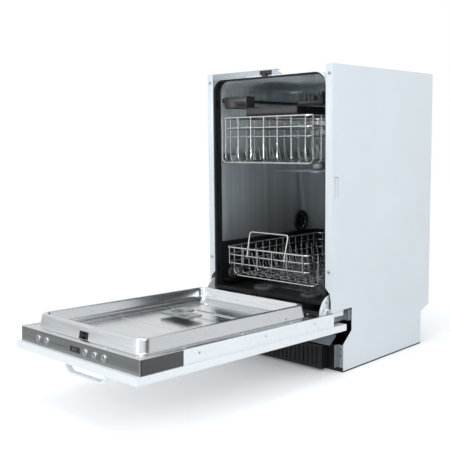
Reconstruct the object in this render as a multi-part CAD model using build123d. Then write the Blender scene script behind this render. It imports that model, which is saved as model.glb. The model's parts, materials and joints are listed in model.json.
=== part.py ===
from build123d import *
import os

# Slim built-in dishwasher, 450 mm niche, door open. Millimetres.
# The model is drawn with x = 0 on the middle plane, y = 0 on the front flanges and z = 0 on the floor,
# and it is saved with its origin at the middle of the base's underside.
# The door is drawn lying flat, and then turned about its hinge to its resting angle.

# ---------- driving dimensions: cabinet
WIDTH = 448.0
HEIGHT = 815.2
DEPTH = 506.6
SHEET = 0.8
BASE_THICK = 3.4          # base tray floor under the side panels
FLANGE_W = 21.0           # folded front flange
CUT_TOP = 172.0           # side panel cut-out beside the hinge
CUT_REAR = 92.0
CUT_LOW = 109.0
TOE_DEPTH = 54.0          # toe recess in the side panels
TOE_TOP = 77.0
REAR_STEP_Y = 459.0       # lower rear recess for the hoses
REAR_STEP_Z = 116.0
REAR_STEP_LOW = 100.0
FIX_X = 428.0             # front fixing holes
FIX_Z_LOW = 279.5
FIX_Z_HIGH = 791.5
FIX_R = 2.6

TAB_Y = (12.0, 26.0)      # lanced tab near the side panel's front edge
TAB_Z = (471.0, 526.0)
TAB_SLOT = 1.5
TOP_PLATE_Y = 215.0       # the sheet over the tub starts here
TOP_RIBS_Y = (270.0, 345.0, 420.0)
REAR_BEADS_Z = (250.0, 420.0, 590.0, 740.0)
BRACE_HALF = 212.0
BRACE_TOP_X = 33.0
BRACE_LOW_X = 59.0
BRACE_SHELF = 24.0
STRIKE_HALF = 20.0
STRIKE_TOP = 812.0

# ---------- driving dimensions: base
TRAY_WALL = 2.5
TRAY_FRONT_TOP = 72.0
TRAY_REAR_TOP = 98.0
TRAY_SIDE_TOP = 64.0
FEET = {"front_left": (-186.0, 92.0), "front_right": (186.0, 92.0), "rear": (0.0, 426.0)}
FOOT_DISC_R = 16.0
FOOT_DISC_H = 8.0
FOOT_STUD_R = 4.0
FOOT_STUD_TOP = 62.0
FOOT_BOSS_R = 26.0
FOOT_BOSS_TOP = 34.0
TOE_FACE = 22.0
TOE_HALF = 176.0
TOE_COVER_LOW = 6.0
TOE_COVER_TOP = 72.0
TOE_COVER_T = 2.5
TOE_RIB_STEP = 15.0
TOE_RIB_W = 5.0
STUB_Z = 62.0
STUB_LEN = 20.0
INLET_X = -150.0
INLET_R = 13.2
INLET_BORE = 9.0
INLET_HOOD = 22.0
DRAIN_X = 150.0
DRAIN_R = 10.0
DRAIN_BORE = 7.5
DRAIN_HOOD = 14.0
POWER_X = 75.0
POWER_R = 7.0
POWER_BORE = 4.5
POWER_HOOD = 12.0
SUMP_LOW = 142.0
SUMP_TOP = 175.0
PUMP_Y = 340.0
PUMP_Z = 92.0
PUMP_R = 42.0
DRAIN_PUMP_Y = 300.0
DRAIN_PUMP_Z = 58.0
DRAIN_PUMP_R = 26.0

# ---------- driving dimensions: tub
TUB_HALF = 201.5
TUB_TOP = 797.0
TUB_BACK = 480.0
TUB_FRONT = 1.0
TUB_R = 34.0
BACK_R = 30.0
TANK_TOP = 323.0
TANK_WALL = 2.5
TANK_FLOOR = 190.0
TANK_SKIN = 3.0
GASKET_T = 3.9
GASKET_D = 28.0
LEDGE_W = 23.5
LEDGE_TOP = 209.7
LEDGE_T = 3.7
LEDGE_Y = 32.0
TUB_BEADS_X = (-130.0, -71.0, 98.0)
FLOOR_GAP = 0.4
FILTER_X = 105.0
FILTER_Y = 66.0
FILTER_R = 29.0
CAP_X = -65.0
CAP_Y = 66.0
CAP_R = 31.0
CAP_NECK = 25.0
VENT_Y = 410.0
VENT_Z = 354.0
VENT_R = 36.0
VENT_NECK = 22.0
DUCT_X0 = -24.0
DUCT_X1 = 37.0
DUCT_T = 17.0
DUCT_Z0 = 335.0
DUCT_Z1 = 562.0

# ---------- driving dimensions: door, drawn lying flat
OPEN_ANGLE = 88.4
HINGE_Y = -7.0
HINGE_Z = 173.0
PANEL_W = 450.0
PANEL_LEN = 726.1
PANEL_T = 17.6
PANEL_TOP_Z = 132.6       # its inner face while the door lies flat
PANEL_FRONT = -657.6
CASE_HALF = 222.5
CASE_FRONT = -646.2
CASE_REAR = 13.5
CASE_TOP_Z = 166.7
CONSOLE_REAR = -528.5
CASE_T = 1.0
LINER_T = 0.8
RIM_BASE_HALF = 196.0
RIM_TOP_HALF = 191.5
RIM_FRONT = -624.0
RIM_REAR = -60.0
RIM_H = 32.0
RIM_W = 10.5
RIM_R = 28.0
HANDLE_CC = 160.0
HANDLE_OUT = 38.0
HANDLE_Y = -615.0
BUTTON_X = (-146.0, -112.0, 37.0, 70.5, 104.0)
BUTTON_Z = 148.5
BUTTON_R = 8.5
BUTTON_GAP = 0.3
BUTTON_OUT = 3.0
DISPLAY_W = 37.0
DISPLAY_H = 13.0
DISPLAY_X = -2.0
DISP_X0 = -72.0
DISP_X1 = 48.0
DISP_Y0 = -348.0
DISP_Y1 = -249.0
DISP_H = 14.0
LID_X0 = DISP_X0 + 52
LID_X1 = DISP_X1 - 8
LID_T = 4.0
LID_TRAVEL = 40.0
RINSE_X = DISP_X0 + 25
RINSE_R = 15.0
LATCH_HALF = 16.5
LATCH_TOP = 185.0
LATCH_BOLT_HALF = 5.0
SCREW_R = 3.4
SCREW_H = 1.8

# ---------- driving dimensions: hinge
CHEEK_X = 208.0
CHEEK_T = 2.5
ARM_X = 211.5
ARM_T = 4.0
BRACKET_X = 204.3
BRACKET_T = 3.0
PIN_R = 4.0
PIN_GAP = 0.06
SPRING_X = 213.0
SPRING_Z = 34.0
SPRING_Y = (150.0, 300.0)

# ---------- driving dimensions: baskets
WIRE = 3.2
RAIL_WIRE = 4.6
BASKET_FRONT = -6.0
BASKET_REAR = 440.0
LOWER_HALF = 152.0
LOWER_RINGS = (315.0, 294.0, 269.5)
LOWER_FLOOR = 227.0
LOWER_TOE_Y = 30.0        # the floor starts here, behind the closed door's rim
UPPER_HALF = 162.0
UPPER_RINGS = (687.0, 658.0, 633.0)
UPPER_FLOOR = 560.0
WHEEL_R = 17.0
WHEEL_W = 10.0
WHEEL_X = 186.0
WHEEL_Y = (60.0, 400.0)
WHEEL_GAP = 0.6
WHEEL_Z = LEDGE_TOP + WHEEL_GAP + WHEEL_R
AXLE_R = 3.0
KNEE_UP = 20.0
LOWER_TINE_TOP = 298.0
UPPER_TINE_TOP = 604.0
LOWER_TINES_X = (-91.2, -30.4, 30.4, 91.2)
UPPER_TINES_X = (-97.2, 97.2)
GRIP_TOP = 366.0
GRIP_LOW_HALF = 68.0
GRIP_TOP_HALF = 70.0
RAIL_Z = 572.0
SLIDE_X = 186.0
SLIDE_T = 6.5
TRAY_FRONT = 21.5
TRAY_REAR = 450.0
TRAY_FLOOR = 690.8
TRAY_TOP = 748.0
TRAY_HALF = 176.0
TRAY_STEP_X = 91.0
TRAY_STEP_Z = 716.0
ARM_CENTRE_Y = 262.0
SPRAY_R = 164.0
UPPER_ARM_Y = 240.0
UPPER_ARM_Z = 526.0
SPINDLE_R = 6.0
FEED_Z = 546.0

ORIGIN_Y = (TOE_DEPTH + REAR_STEP_Y) / 2


def block(x0, x1, y0, y1, z0, z1):
    """A box between two corners."""
    size = Box(x1 - x0, y1 - y0, z1 - z0)
    return Pos((x0 + x1) / 2, (y0 + y1) / 2, (z0 + z1) / 2) * size


def both(shape):
    """A shape and its mirror image across the middle plane."""
    return [shape, mirror(shape, about=Plane.YZ)]


def upright(x, y, z0, z1, r):
    """A vertical cylinder."""
    return Pos(x, y, (z0 + z1) / 2) * Cylinder(r, z1 - z0)


def along_x(x0, x1, y, z, r):
    return Pos((x0 + x1) / 2, y, z) * Rot(0, 90, 0) * Cylinder(r, abs(x1 - x0))


def along_y(x, y0, y1, z, r):
    return Pos(x, (y0 + y1) / 2, z) * Rot(90, 0, 0) * Cylinder(r, abs(y1 - y0))


def side_profile(points, x0, x1):
    """A flat outline of (y, z) points, given thickness from x0 to x1."""
    outline = Plane.YZ.offset(x0) * make_face(Polyline(*points, close=True))
    return extrude(outline, x1 - x0, dir=(1, 0, 0))


def front_profile(points, y0, y1):
    """A flat outline of (x, z) points, given thickness from y0 to y1."""
    wire = Polyline(*[(x, y0, z) for x, z in points], close=True)
    return extrude(make_face(wire), y1 - y0, dir=(0, 1, 0))


def bar(p, q, size):
    """A straight square bar between two points that share two coordinates or lie in a plane of x."""
    half = size / 2
    if p[0] != q[0]:
        return block(min(p[0], q[0]) - half, max(p[0], q[0]) + half, p[1] - half, p[1] + half,
                     p[2] - half, p[2] + half)
    if p[1] == q[1]:
        return block(p[0] - half, p[0] + half, p[1] - half, p[1] + half,
                     min(p[2], q[2]) - half, max(p[2], q[2]) + half)
    rise = (q[2] - p[2]) / (q[1] - p[1])
    drop = half * (1 + rise * rise) ** 0.5
    y0, y1 = min(p[1], q[1]) - half, max(p[1], q[1]) + half
    z0, z1 = p[2] + rise * (y0 - p[1]), p[2] + rise * (y1 - p[1])
    ends = [(y0, z0 - drop), (y1, z1 - drop), (y1, z1 + drop), (y0, z0 + drop)]
    return side_profile(ends, p[0] - half, p[0] + half)


def save(name, shape, on_door=False):
    """Write one node, after turning a door piece to its resting angle."""
    solids = shape if isinstance(shape, list) else [shape]
    placed = []
    for solid in solids:
        if on_door:
            solid = solid.rotate(Axis((0, HINGE_Y, HINGE_Z), (1, 0, 0)), OPEN_ANGLE - 90)
        placed.append(Pos(0, -ORIGIN_Y, 0) * solid)
    whole = placed[0] if len(placed) == 1 else Compound(children=placed)
    export_step(whole, "parts/" + name + ".step")


def pair(name, shape):
    """Write a right-hand piece and its mirrored left-hand one."""
    save(name + "_right", shape)
    save(name + "_left", mirror(shape, about=Plane.YZ))


# ---------- cabinet
def side_panel():
    half = WIDTH / 2
    foot = BASE_THICK + 0.2
    outline = [(0, HEIGHT), (DEPTH, HEIGHT), (DEPTH, REAR_STEP_Z), (REAR_STEP_Y, REAR_STEP_LOW),
               (REAR_STEP_Y, foot), (TOE_DEPTH, foot), (TOE_DEPTH, TOE_TOP), (CUT_REAR, CUT_LOW),
               (CUT_REAR, CUT_TOP), (0, CUT_TOP)]
    skin = side_profile(outline, half - SHEET, half)
    inner = half - FLANGE_W
    flange = front_profile([(inner, HEIGHT), (half, HEIGHT), (half, CUT_TOP), (half - 3, CUT_TOP),
                            (half - 3, 200), (half - 7, 222), (inner, 236)], 0, SHEET)
    for z in (FIX_Z_LOW, FIX_Z_HIGH):
        flange -= along_y(FIX_X / 2, -1, SHEET + 1, z, FIX_R)
    rear = block(half - 16, half, DEPTH - SHEET, DEPTH, REAR_STEP_Z, HEIGHT)
    top = block(half - 13, half, 0, DEPTH, HEIGHT - SHEET, HEIGHT)
    panel = skin + flange + rear + top
    # a lanced tab near the front edge
    for y in (TAB_Y[0], TAB_Y[1] - TAB_SLOT):
        panel -= block(half - 2, half + 1, y, y + TAB_SLOT, *TAB_Z)
    return panel - block(half - 2, half + 1, *TAB_Y, TAB_Z[1] - TAB_SLOT, TAB_Z[1])


def front_brace():
    y0 = SHEET + 0.1
    low, high = TUB_TOP + 2 * SHEET, HEIGHT - SHEET - 0.1
    plate = front_profile([(-BRACE_HALF, low), (BRACE_LOW_X, low), (BRACE_TOP_X, high), (-BRACE_HALF, high)],
                          y0, y0 + SHEET)
    shelf = block(-BRACE_HALF + 2, BRACE_TOP_X, y0, y0 + BRACE_SHELF, high - SHEET, high)
    strike = block(-STRIKE_HALF - 0.2, STRIKE_HALF + 0.2, y0 - 1, y0 + SHEET + 1, TUB_TOP, STRIKE_TOP + 0.2)
    return plate + shelf - strike


def top_plate():
    z = HEIGHT - SHEET - 0.1
    half = WIDTH / 2 - SHEET - 0.1
    plate = block(-half, half, TOP_PLATE_Y, DEPTH - SHEET - 0.1, z - SHEET, z)
    for y in TOP_RIBS_Y:
        plate += block(-150, 150, y - 6, y + 6, z - SHEET - 2.5, z - SHEET)
    return plate


def rear_panel():
    half = WIDTH / 2 - 16.2
    back = DEPTH - SHEET
    plate = block(-half, half, back, DEPTH, REAR_STEP_Z + 1, HEIGHT - 3)
    for z in REAR_BEADS_Z:
        plate -= block(-120, 120, back - 1, back + SHEET / 2, z - 7, z + 7)
    return plate


def base_tray():
    half = WIDTH / 2 - 0.1
    inner = WIDTH / 2 - SHEET - 0.3
    tray = block(-half, half, TOE_DEPTH, REAR_STEP_Y, 0, BASE_THICK)
    front = TOE_DEPTH + 2
    tray += block(-inner, inner, front, front + TRAY_WALL, BASE_THICK, TRAY_FRONT_TOP)
    tray += block(-inner, inner, REAR_STEP_Y - TRAY_WALL, REAR_STEP_Y, BASE_THICK, TRAY_REAR_TOP)
    for x0 in (-inner, inner - TRAY_WALL):
        tray += block(x0, x0 + TRAY_WALL, front, REAR_STEP_Y, BASE_THICK, TRAY_SIDE_TOP)
    for x, y in FEET.values():
        tray += upright(x, y, BASE_THICK, FOOT_BOSS_TOP, FOOT_BOSS_R)
        tray -= upright(x, y, -1, FOOT_DISC_H + 1, FOOT_DISC_R + 2)
        tray -= upright(x, y, 0, FOOT_BOSS_TOP + 6, FOOT_STUD_R + PIN_GAP)
    for x, hood in ((INLET_X, INLET_HOOD), (DRAIN_X, DRAIN_HOOD), (POWER_X, POWER_HOOD)):
        tray -= block(x - hood - 0.1, x + hood + 0.1, REAR_STEP_Y - 5, REAR_STEP_Y + 1,
                      STUB_Z - hood - 0.1, STUB_Z + hood + 0.1)
    return tray


def toe_cover():
    front, thick, low = TOE_FACE, TOE_COVER_T, TOE_COVER_LOW
    cover = block(-TOE_HALF, TOE_HALF, front, front + thick, low, TOE_COVER_TOP)
    cover += block(-TOE_HALF, TOE_HALF, front, TOE_DEPTH + 2, low, low + thick)
    for x0 in (-TOE_HALF, TOE_HALF - thick):
        cover += block(x0, x0 + thick, front, TOE_DEPTH + 2, low, TOE_COVER_TOP)
    rib = -TOE_HALF + TOE_RIB_STEP
    while rib + TOE_RIB_W < TOE_HALF - thick:
        cover += block(rib, rib + TOE_RIB_W, front - thick, front, low + 8, TOE_COVER_TOP - 8)
        rib += TOE_RIB_STEP
    return cover


def base_slope():
    """The sloped sheet between the toe cover and the tub."""
    points = [(30, 74), (31, 72.9), (61, 95), (61, 96.5)]
    return side_profile(points, -196, 196)


def corner_bracket():
    plate = block(205, 222.5, TOE_DEPTH + 0.3, TOE_DEPTH + 1.8, 12, 74)
    plate += block(205, 206.5, TOE_DEPTH - 14, TOE_DEPTH + 1.8, 12, 74)
    for z in (43, 62):
        plate -= along_y(214.5, TOE_DEPTH - 1, TOE_DEPTH + 3, z, 2.6)
    return plate


# ---------- base contents
def foot(x, y):
    disc = upright(x, y, 0, FOOT_DISC_H, FOOT_DISC_R)
    return disc + upright(x, y, FOOT_DISC_H, FOOT_STUD_TOP, FOOT_STUD_R)


def stub(x, r, bore, hood):
    """A pipe stub through the rear wall, with its housing inside."""
    pipe = along_y(x, REAR_STEP_Y - 12, REAR_STEP_Y + STUB_LEN, STUB_Z, r)
    pipe += block(x - hood, x + hood, REAR_STEP_Y - 34, REAR_STEP_Y, STUB_Z - hood, STUB_Z + hood)
    return pipe - along_y(x, REAR_STEP_Y - 20, REAR_STEP_Y + STUB_LEN + 1, STUB_Z, bore)


def sump():
    """The well under the filter, its channel and the lower spray arm's hollow post."""
    under = TANK_FLOOR - TANK_SKIN
    body = upright(FILTER_X, FILTER_Y, SUMP_LOW, under, FILTER_R + 3)
    body += block(-20, FILTER_X, FILTER_Y + FILTER_R, ARM_CENTRE_Y + 30, SUMP_LOW, SUMP_TOP)
    body += upright(0, ARM_CENTRE_Y, SUMP_LOW, under, 30)
    body -= upright(FILTER_X, FILTER_Y, SUMP_LOW + 4, under + 1, FILTER_R - 2)
    body += upright(0, ARM_CENTRE_Y, under - 1, TANK_FLOOR + 2.5, 10.8)
    return body + upright(0, ARM_CENTRE_Y, under - 1, TANK_FLOOR + 18, SPINDLE_R)


def circulation_pump():
    motor = along_x(-60, 50, PUMP_Y, PUMP_Z, PUMP_R)
    return motor + along_x(50, 76, PUMP_Y, PUMP_Z, PUMP_R - 10)


def drain_pump():
    motor = along_x(128, 190, DRAIN_PUMP_Y, DRAIN_PUMP_Z, DRAIN_PUMP_R)
    return motor + along_x(110, 128, DRAIN_PUMP_Y, DRAIN_PUMP_Z, DRAIN_PUMP_R - 6)


def softener():
    body = block(-150, -78, 130, 300, 70, SUMP_TOP)
    channel = block(-110, -38, CAP_Y + 14, 131, 150, SUMP_TOP)
    neck = upright(CAP_X, CAP_Y, 150, TANK_FLOOR - TANK_SKIN - 0.2, CAP_NECK + 2)
    return body + channel + neck - upright(CAP_X, CAP_Y, 156, TANK_FLOOR, CAP_NECK - 5)


# ---------- tub
def tub_body(half, top, back, radius, corner, low):
    """A solid with the tub's rounded outline, open ends left square."""
    body = block(-half, half, TUB_FRONT, back, low, top)
    tops = [e for e in body.edges().filter_by(Axis.Y) if e.center().Z > top - 1]
    body = fillet(tops, radius)
    rear = [e for e in body.edges() if e.center().Y > back - 0.01 and e.center().Z > low + 1]
    return fillet(rear, corner)


def tub_shell():
    outer = tub_body(TUB_HALF + SHEET, TUB_TOP + SHEET, TUB_BACK + SHEET, TUB_R + SHEET, BACK_R + SHEET,
                     TANK_TOP)
    inner = tub_body(TUB_HALF, TUB_TOP, TUB_BACK, TUB_R, BACK_R, TANK_TOP - 40)
    shell = outer - inner
    for x in TUB_BEADS_X:
        shell += block(x - 3, x + 3, TUB_BACK - 2, TUB_BACK + 0.4, TANK_TOP + 40, 700)
    shell -= along_x(-TUB_HALF - 3, -TUB_HALF + 3, VENT_Y, VENT_Z, VENT_NECK)
    return shell


def tub_tank():
    half = TUB_HALF + TANK_WALL
    back = TUB_BACK + TANK_WALL
    tank = block(-half, half, TUB_FRONT, back, TANK_FLOOR - TANK_SKIN, TANK_TOP)
    tank -= block(-TUB_HALF, TUB_HALF, TUB_FRONT - 5, TUB_BACK, TANK_FLOOR, TANK_TOP + 1)
    for side in (-1, 1):
        x0, x1 = sorted((side * TUB_HALF, side * (TUB_HALF - LEDGE_W)))
        tank += block(x0, x1, LEDGE_Y, TUB_BACK, LEDGE_TOP - LEDGE_T, LEDGE_TOP)
    tank -= upright(FILTER_X, FILTER_Y, TANK_FLOOR - 5, TANK_FLOOR + 5, FILTER_R - 3)
    tank -= upright(CAP_X, CAP_Y, TANK_FLOOR - 5, TANK_FLOOR + 5, CAP_NECK + FLOOR_GAP)
    tank -= upright(0, ARM_CENTRE_Y, TANK_FLOOR - 5, TANK_FLOOR + 5, 11)
    return tank


def gasket():
    """The black seal that lines the opening's top and sides."""
    low = TANK_FLOOR
    outer = block(-TUB_HALF, TUB_HALF, TUB_FRONT, TUB_FRONT + GASKET_D, low, TUB_TOP)
    edges = [e for e in outer.edges().filter_by(Axis.Y) if e.center().Z > TUB_TOP - 1]
    outer = fillet(edges, TUB_R)
    half = TUB_HALF - GASKET_T
    top = TUB_TOP - GASKET_T
    inner = block(-half, half, TUB_FRONT - 5, TUB_FRONT + GASKET_D + 5, low - 5, top)
    edges = [e for e in inner.edges().filter_by(Axis.Y) if e.center().Z > top - 1]
    return outer - fillet(edges, TUB_R - GASKET_T)


def lock_strike():
    body = block(-STRIKE_HALF, STRIKE_HALF, -3, 22, TUB_TOP + 3.5, STRIKE_TOP)
    return body + block(-8, 8, -8, 0, TUB_TOP - 1.5, TUB_TOP + 5)


def vent_nut():
    nut = along_x(-TUB_HALF, -TUB_HALF + 7, VENT_Y, VENT_Z, VENT_R)
    nut += along_x(-TUB_HALF - 10, -TUB_HALF, VENT_Y, VENT_Z, VENT_NECK - 0.2)
    spokes = along_x(-TUB_HALF - 12, -TUB_HALF + 9, VENT_Y, VENT_Z, VENT_NECK - 6)
    for angle in (0, 60, 120):
        spoke = Pos(-TUB_HALF, VENT_Y, VENT_Z) * Rot(angle, 0, 0) * Box(26, 4, 2 * VENT_NECK)
        spokes -= spoke
    return nut - spokes


def water_duct():
    duct = block(DUCT_X0, DUCT_X1, TUB_BACK - DUCT_T, TUB_BACK, DUCT_Z0, DUCT_Z1)
    duct = fillet(duct.edges().filter_by(Axis.Y), 16)
    middle = (DUCT_X0 + DUCT_X1) / 2
    return duct + along_y(middle, TUB_BACK - DUCT_T - 6, TUB_BACK - DUCT_T, FEED_Z, 14)


def filter_plate():
    plate = block(-172, 172, 108, 450, TANK_FLOOR + 0.2, TANK_FLOOR + 1.4)
    return plate - upright(0, ARM_CENTRE_Y, TANK_FLOOR - 1, TANK_FLOOR + 3, 14)


def filter_cup():
    rim = upright(FILTER_X, FILTER_Y, TANK_FLOOR + FLOOR_GAP, TANK_FLOOR + 10, FILTER_R)
    cup = upright(FILTER_X, FILTER_Y, 150, TANK_FLOOR + FLOOR_GAP, FILTER_R - 5)
    cup -= upright(FILTER_X, FILTER_Y, 152, 195, FILTER_R - 7)
    body = rim + cup
    for turn in range(10):
        notch = Rot(0, 0, 36 * turn) * Pos(FILTER_R, 0, 0) * Cylinder(2.2, 30)
        body -= Pos(FILTER_X, FILTER_Y, TANK_FLOOR + 16) * notch
    return body


def salt_cap():
    cap = upright(CAP_X, CAP_Y, TANK_FLOOR + FLOOR_GAP, TANK_FLOOR + 11, CAP_R)
    cap += upright(CAP_X, CAP_Y, 166, TANK_FLOOR + FLOOR_GAP, 19.5)
    for turn in range(12):
        notch = Rot(0, 0, 30 * turn) * Pos(CAP_R, 0, 0) * Cylinder(2.2, 30)
        cap -= Pos(CAP_X, CAP_Y, TANK_FLOOR + 17) * notch
    return cap


# ---------- hinge
def hinge_bracket():
    x1 = BRACKET_X + BRACKET_T
    plate = side_profile([(-3, 165), (16, 150), (16, 138), (88, 138), (88, 184), (30, 184), (-3, 182)],
                         BRACKET_X, x1)
    plate += along_x(BRACKET_X, x1, HINGE_Y, HINGE_Z, 9)
    plate += side_profile([(-12, 170), (0, 165), (0, 182), (-12, 176)], BRACKET_X, x1)
    plate += along_x(BRACKET_X, ARM_X + ARM_T + 2, HINGE_Y, HINGE_Z, PIN_R)
    plate += block(BRACKET_X, 222.9, 78, 88, 138, 168)
    return plate


def hinge_arm():
    x1 = ARM_X + ARM_T
    arm = along_x(ARM_X, x1, HINGE_Y, HINGE_Z, 11)
    arm += side_profile([(HINGE_Y, 156), (65, 156), (65, 178), (HINGE_Y, 180)], ARM_X, x1)
    arm += side_profile([(-160, 138), (-20, 138), (0, 158), (-16, 178), (-30, 160), (-160, 160)], ARM_X, x1)
    return arm - along_x(ARM_X - 1, x1 + 1, HINGE_Y, HINGE_Z, PIN_R + PIN_GAP)


def hinge_cheek():
    """The quarter-round plate beside the opening's lower corner."""
    x1 = CHEEK_X + CHEEK_T
    arc = ThreePointArc((-33, 165), (-22, 198), (7, 217))
    edge = Polyline((7, 217), (7, 139), (-33, 139), (-33, 165))
    sketch = Plane.YZ.offset(CHEEK_X) * make_face(arc + edge)
    plate = extrude(sketch, CHEEK_T, dir=(1, 0, 0))
    return plate - along_x(CHEEK_X - 1, x1 + 1, HINGE_Y, HINGE_Z, PIN_R + 1)


def door_spring():
    x, z, (y0, y1) = SPRING_X, SPRING_Z, SPRING_Y
    coil = along_y(x, y0, y1, z, 7) - along_y(x, y0 - 1, y1 + 1, z, 4)
    hook = block(x - 1.5, x + 1.5, y1, y1 + 20, z - 1.5, z + 1.5)
    return coil + hook + block(x - 4, x + 4, y1 - 2, y1, z - 6, z + 6)


# ---------- door
def notches(y0, z0, z1):
    """Corner slots that clear the hinge."""
    return both(block(BRACKET_X - 1.8, ARM_X + ARM_T + 3, y0, CASE_REAR + 5, z0, z1))


def door_casing():
    x, z0 = CASE_HALF, PANEL_TOP_Z
    case = block(-x, x, CONSOLE_REAR + 2, CASE_REAR, z0, CASE_TOP_Z)
    case -= block(-x + CASE_T, x - CASE_T, CONSOLE_REAR - 5, CASE_REAR - CASE_T, z0 + CASE_T, 200)
    for slot in notches(CASE_REAR - 3, z0 + CASE_T + 2, 180):
        case -= slot
    return case


def control_fascia():
    x, z0 = CASE_HALF, PANEL_TOP_Z
    case = block(-x, x, CASE_FRONT, CONSOLE_REAR, z0, CASE_TOP_Z)
    case = fillet(case.edges().filter_by(Axis.Z).group_by(Axis.Y)[0], 4)
    case -= block(-x + 1.5, x - 1.5, CASE_FRONT + 1.5, CONSOLE_REAR + 5, z0 + 1.5, 200)
    for bx in BUTTON_X:
        case -= along_y(bx, CASE_FRONT - 1, CASE_FRONT + 3, BUTTON_Z, BUTTON_R + BUTTON_GAP)
    low, high = DISPLAY_X - DISPLAY_W / 2, DISPLAY_X + DISPLAY_W / 2
    case -= block(low - 0.1, high + 0.1, CASE_FRONT - 1, CASE_FRONT + 3,
                  BUTTON_Z - DISPLAY_H / 2 - 0.1, BUTTON_Z + DISPLAY_H / 2 + 0.1)
    return case


def rim_solid(inset, z0, z1, lift=0.0):
    """A tapered block whose sides keep a distance from the liner's raised outer wall."""
    lean = (RIM_BASE_HALF - RIM_TOP_HALF) / RIM_H
    layers = []
    for z in (z0, z1):
        side = inset + lean * (z - CASE_TOP_Z)
        half = RIM_BASE_HALF - side
        length = RIM_REAR - RIM_FRONT - 2 * side
        plane = Plane(origin=(0, (RIM_REAR + RIM_FRONT) / 2, z + lift))
        layers.append(plane * RectangleRounded(2 * half, length, RIM_R - inset * 0.6))
    return loft(layers)


def pan_solid(outset, z0, z1):
    """The pan's cavity, whose sides lean the other way."""
    layers = []
    for z, extra in ((z0, 5.0), (z1, 0.0)):
        half = RIM_TOP_HALF - RIM_W - extra + outset
        middle = (RIM_REAR + RIM_FRONT) / 2
        length = RIM_REAR - RIM_FRONT - 9.0 - 2 * (RIM_W + extra) + 2 * outset
        layers.append(Plane(origin=(0, middle, z)) * RectangleRounded(2 * half, length, RIM_R - 8 + outset))
    return loft(layers)


def door_liner():
    top = CASE_TOP_Z + RIM_H
    sheet = block(-CASE_HALF + 0.8, CASE_HALF - 0.8, CASE_FRONT + 2, CASE_REAR - 0.5, CASE_TOP_Z,
                  CASE_TOP_Z + LINER_T)
    outer = rim_solid(0, CASE_TOP_Z, top)
    hollow = rim_solid(LINER_T, CASE_TOP_Z - 1, top - LINER_T)
    cavity = pan_solid(0, CASE_TOP_Z + LINER_T, top + 1)
    wall = pan_solid(LINER_T, CASE_TOP_Z, top + 1)
    shell = outer - (hollow - wall) - cavity
    liner = shell + (sheet - rim_solid(1.0, CASE_TOP_Z - 5, CASE_TOP_Z + 10))
    for slot in notches(-42, CASE_TOP_Z - 10, CASE_TOP_Z + 10):
        liner -= slot
    liner -= block(-LATCH_HALF - 0.3, LATCH_HALF + 0.3, RIM_FRONT - 2, RIM_FRONT + 8,
                   CASE_TOP_Z + 2, LATCH_TOP + 0.3)
    return liner


def door_latch():
    body = block(-LATCH_HALF, LATCH_HALF, RIM_FRONT + 1.5, RIM_FRONT + 7, CASE_TOP_Z + 2.3, LATCH_TOP)
    return body - block(-LATCH_BOLT_HALF - 0.4, LATCH_BOLT_HALF + 0.4, RIM_FRONT, RIM_FRONT + 5,
                        CASE_TOP_Z + 5, CASE_TOP_Z + 16)


def latch_bolt():
    return block(-LATCH_BOLT_HALF, LATCH_BOLT_HALF, RIM_FRONT + 0.6, RIM_FRONT + 4.6,
                 CASE_TOP_Z + 7, CASE_TOP_Z + 12)


def furniture_panel():
    half = PANEL_W / 2
    slab = block(-half, half, PANEL_FRONT, PANEL_FRONT + PANEL_LEN, PANEL_TOP_Z - PANEL_T, PANEL_TOP_Z)
    return chamfer(slab.edges(), 0.6)


def handle():
    """A flat bow on the panel's outer face."""
    face = PANEL_TOP_Z - PANEL_T
    half = HANDLE_CC / 2
    low = face - HANDLE_OUT
    points = [(-half - 8, face), (-half + 14, low), (half - 14, low), (half + 8, face), (half - 5, face),
              (half - 19, low + 6), (-half + 19, low + 6), (-half + 5, face)]
    bow = front_profile(points, HANDLE_Y - 8, HANDLE_Y + 8)
    return fillet(bow.edges().filter_by(Axis.Y).sort_by(Axis.Z)[0:2], 12)


def button(x):
    cap = along_y(x, CASE_FRONT - BUTTON_OUT, CASE_FRONT + 8, BUTTON_Z, BUTTON_R)
    return fillet(cap.edges().group_by(Axis.Y)[0], 2)


def display_window():
    low, high = DISPLAY_X - DISPLAY_W / 2, DISPLAY_X + DISPLAY_W / 2
    return block(low, high, CASE_FRONT - 0.3, CASE_FRONT + 2.5, BUTTON_Z - DISPLAY_H / 2,
                 BUTTON_Z + DISPLAY_H / 2)


def control_board():
    board = block(-170, 130, CASE_FRONT + 14, CASE_FRONT + 15.6, 138, 162)
    return board + block(-60, 60, CASE_FRONT + 15.6, CASE_FRONT + 40, 140, 158)


def dispenser_body():
    z0 = CASE_TOP_Z + LINER_T
    top = z0 + DISP_H
    body = block(DISP_X0, DISP_X1, DISP_Y0, DISP_Y1, z0, top - LID_T)
    body = fillet(body.edges().filter_by(Axis.Z), 6)
    body += block(DISP_X0 + 3, DISP_X0 + 50, DISP_Y0 + 4, DISP_Y1 - 4, top - LID_T, top)
    mid = (DISP_Y0 + DISP_Y1) / 2
    body -= block(LID_X0 + 8, LID_X0 + 56, mid - 24, mid + 26, z0 + 2, top + 1)
    body -= upright(RINSE_X, mid, top - 6, top + 1, RINSE_R + 0.4)
    return body


def dispenser_lid():
    top = CASE_TOP_Z + LINER_T + DISP_H
    lid = block(LID_X0, LID_X1, DISP_Y0 + 6, DISP_Y1 - LID_TRAVEL, top - LID_T + 0.3, top)
    lid = fillet(lid.edges().filter_by(Axis.Z), 5)
    return lid + block(LID_X0 + 20, LID_X0 + 44, DISP_Y0 + 12, DISP_Y0 + 16, top, top + 2.5)


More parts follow.
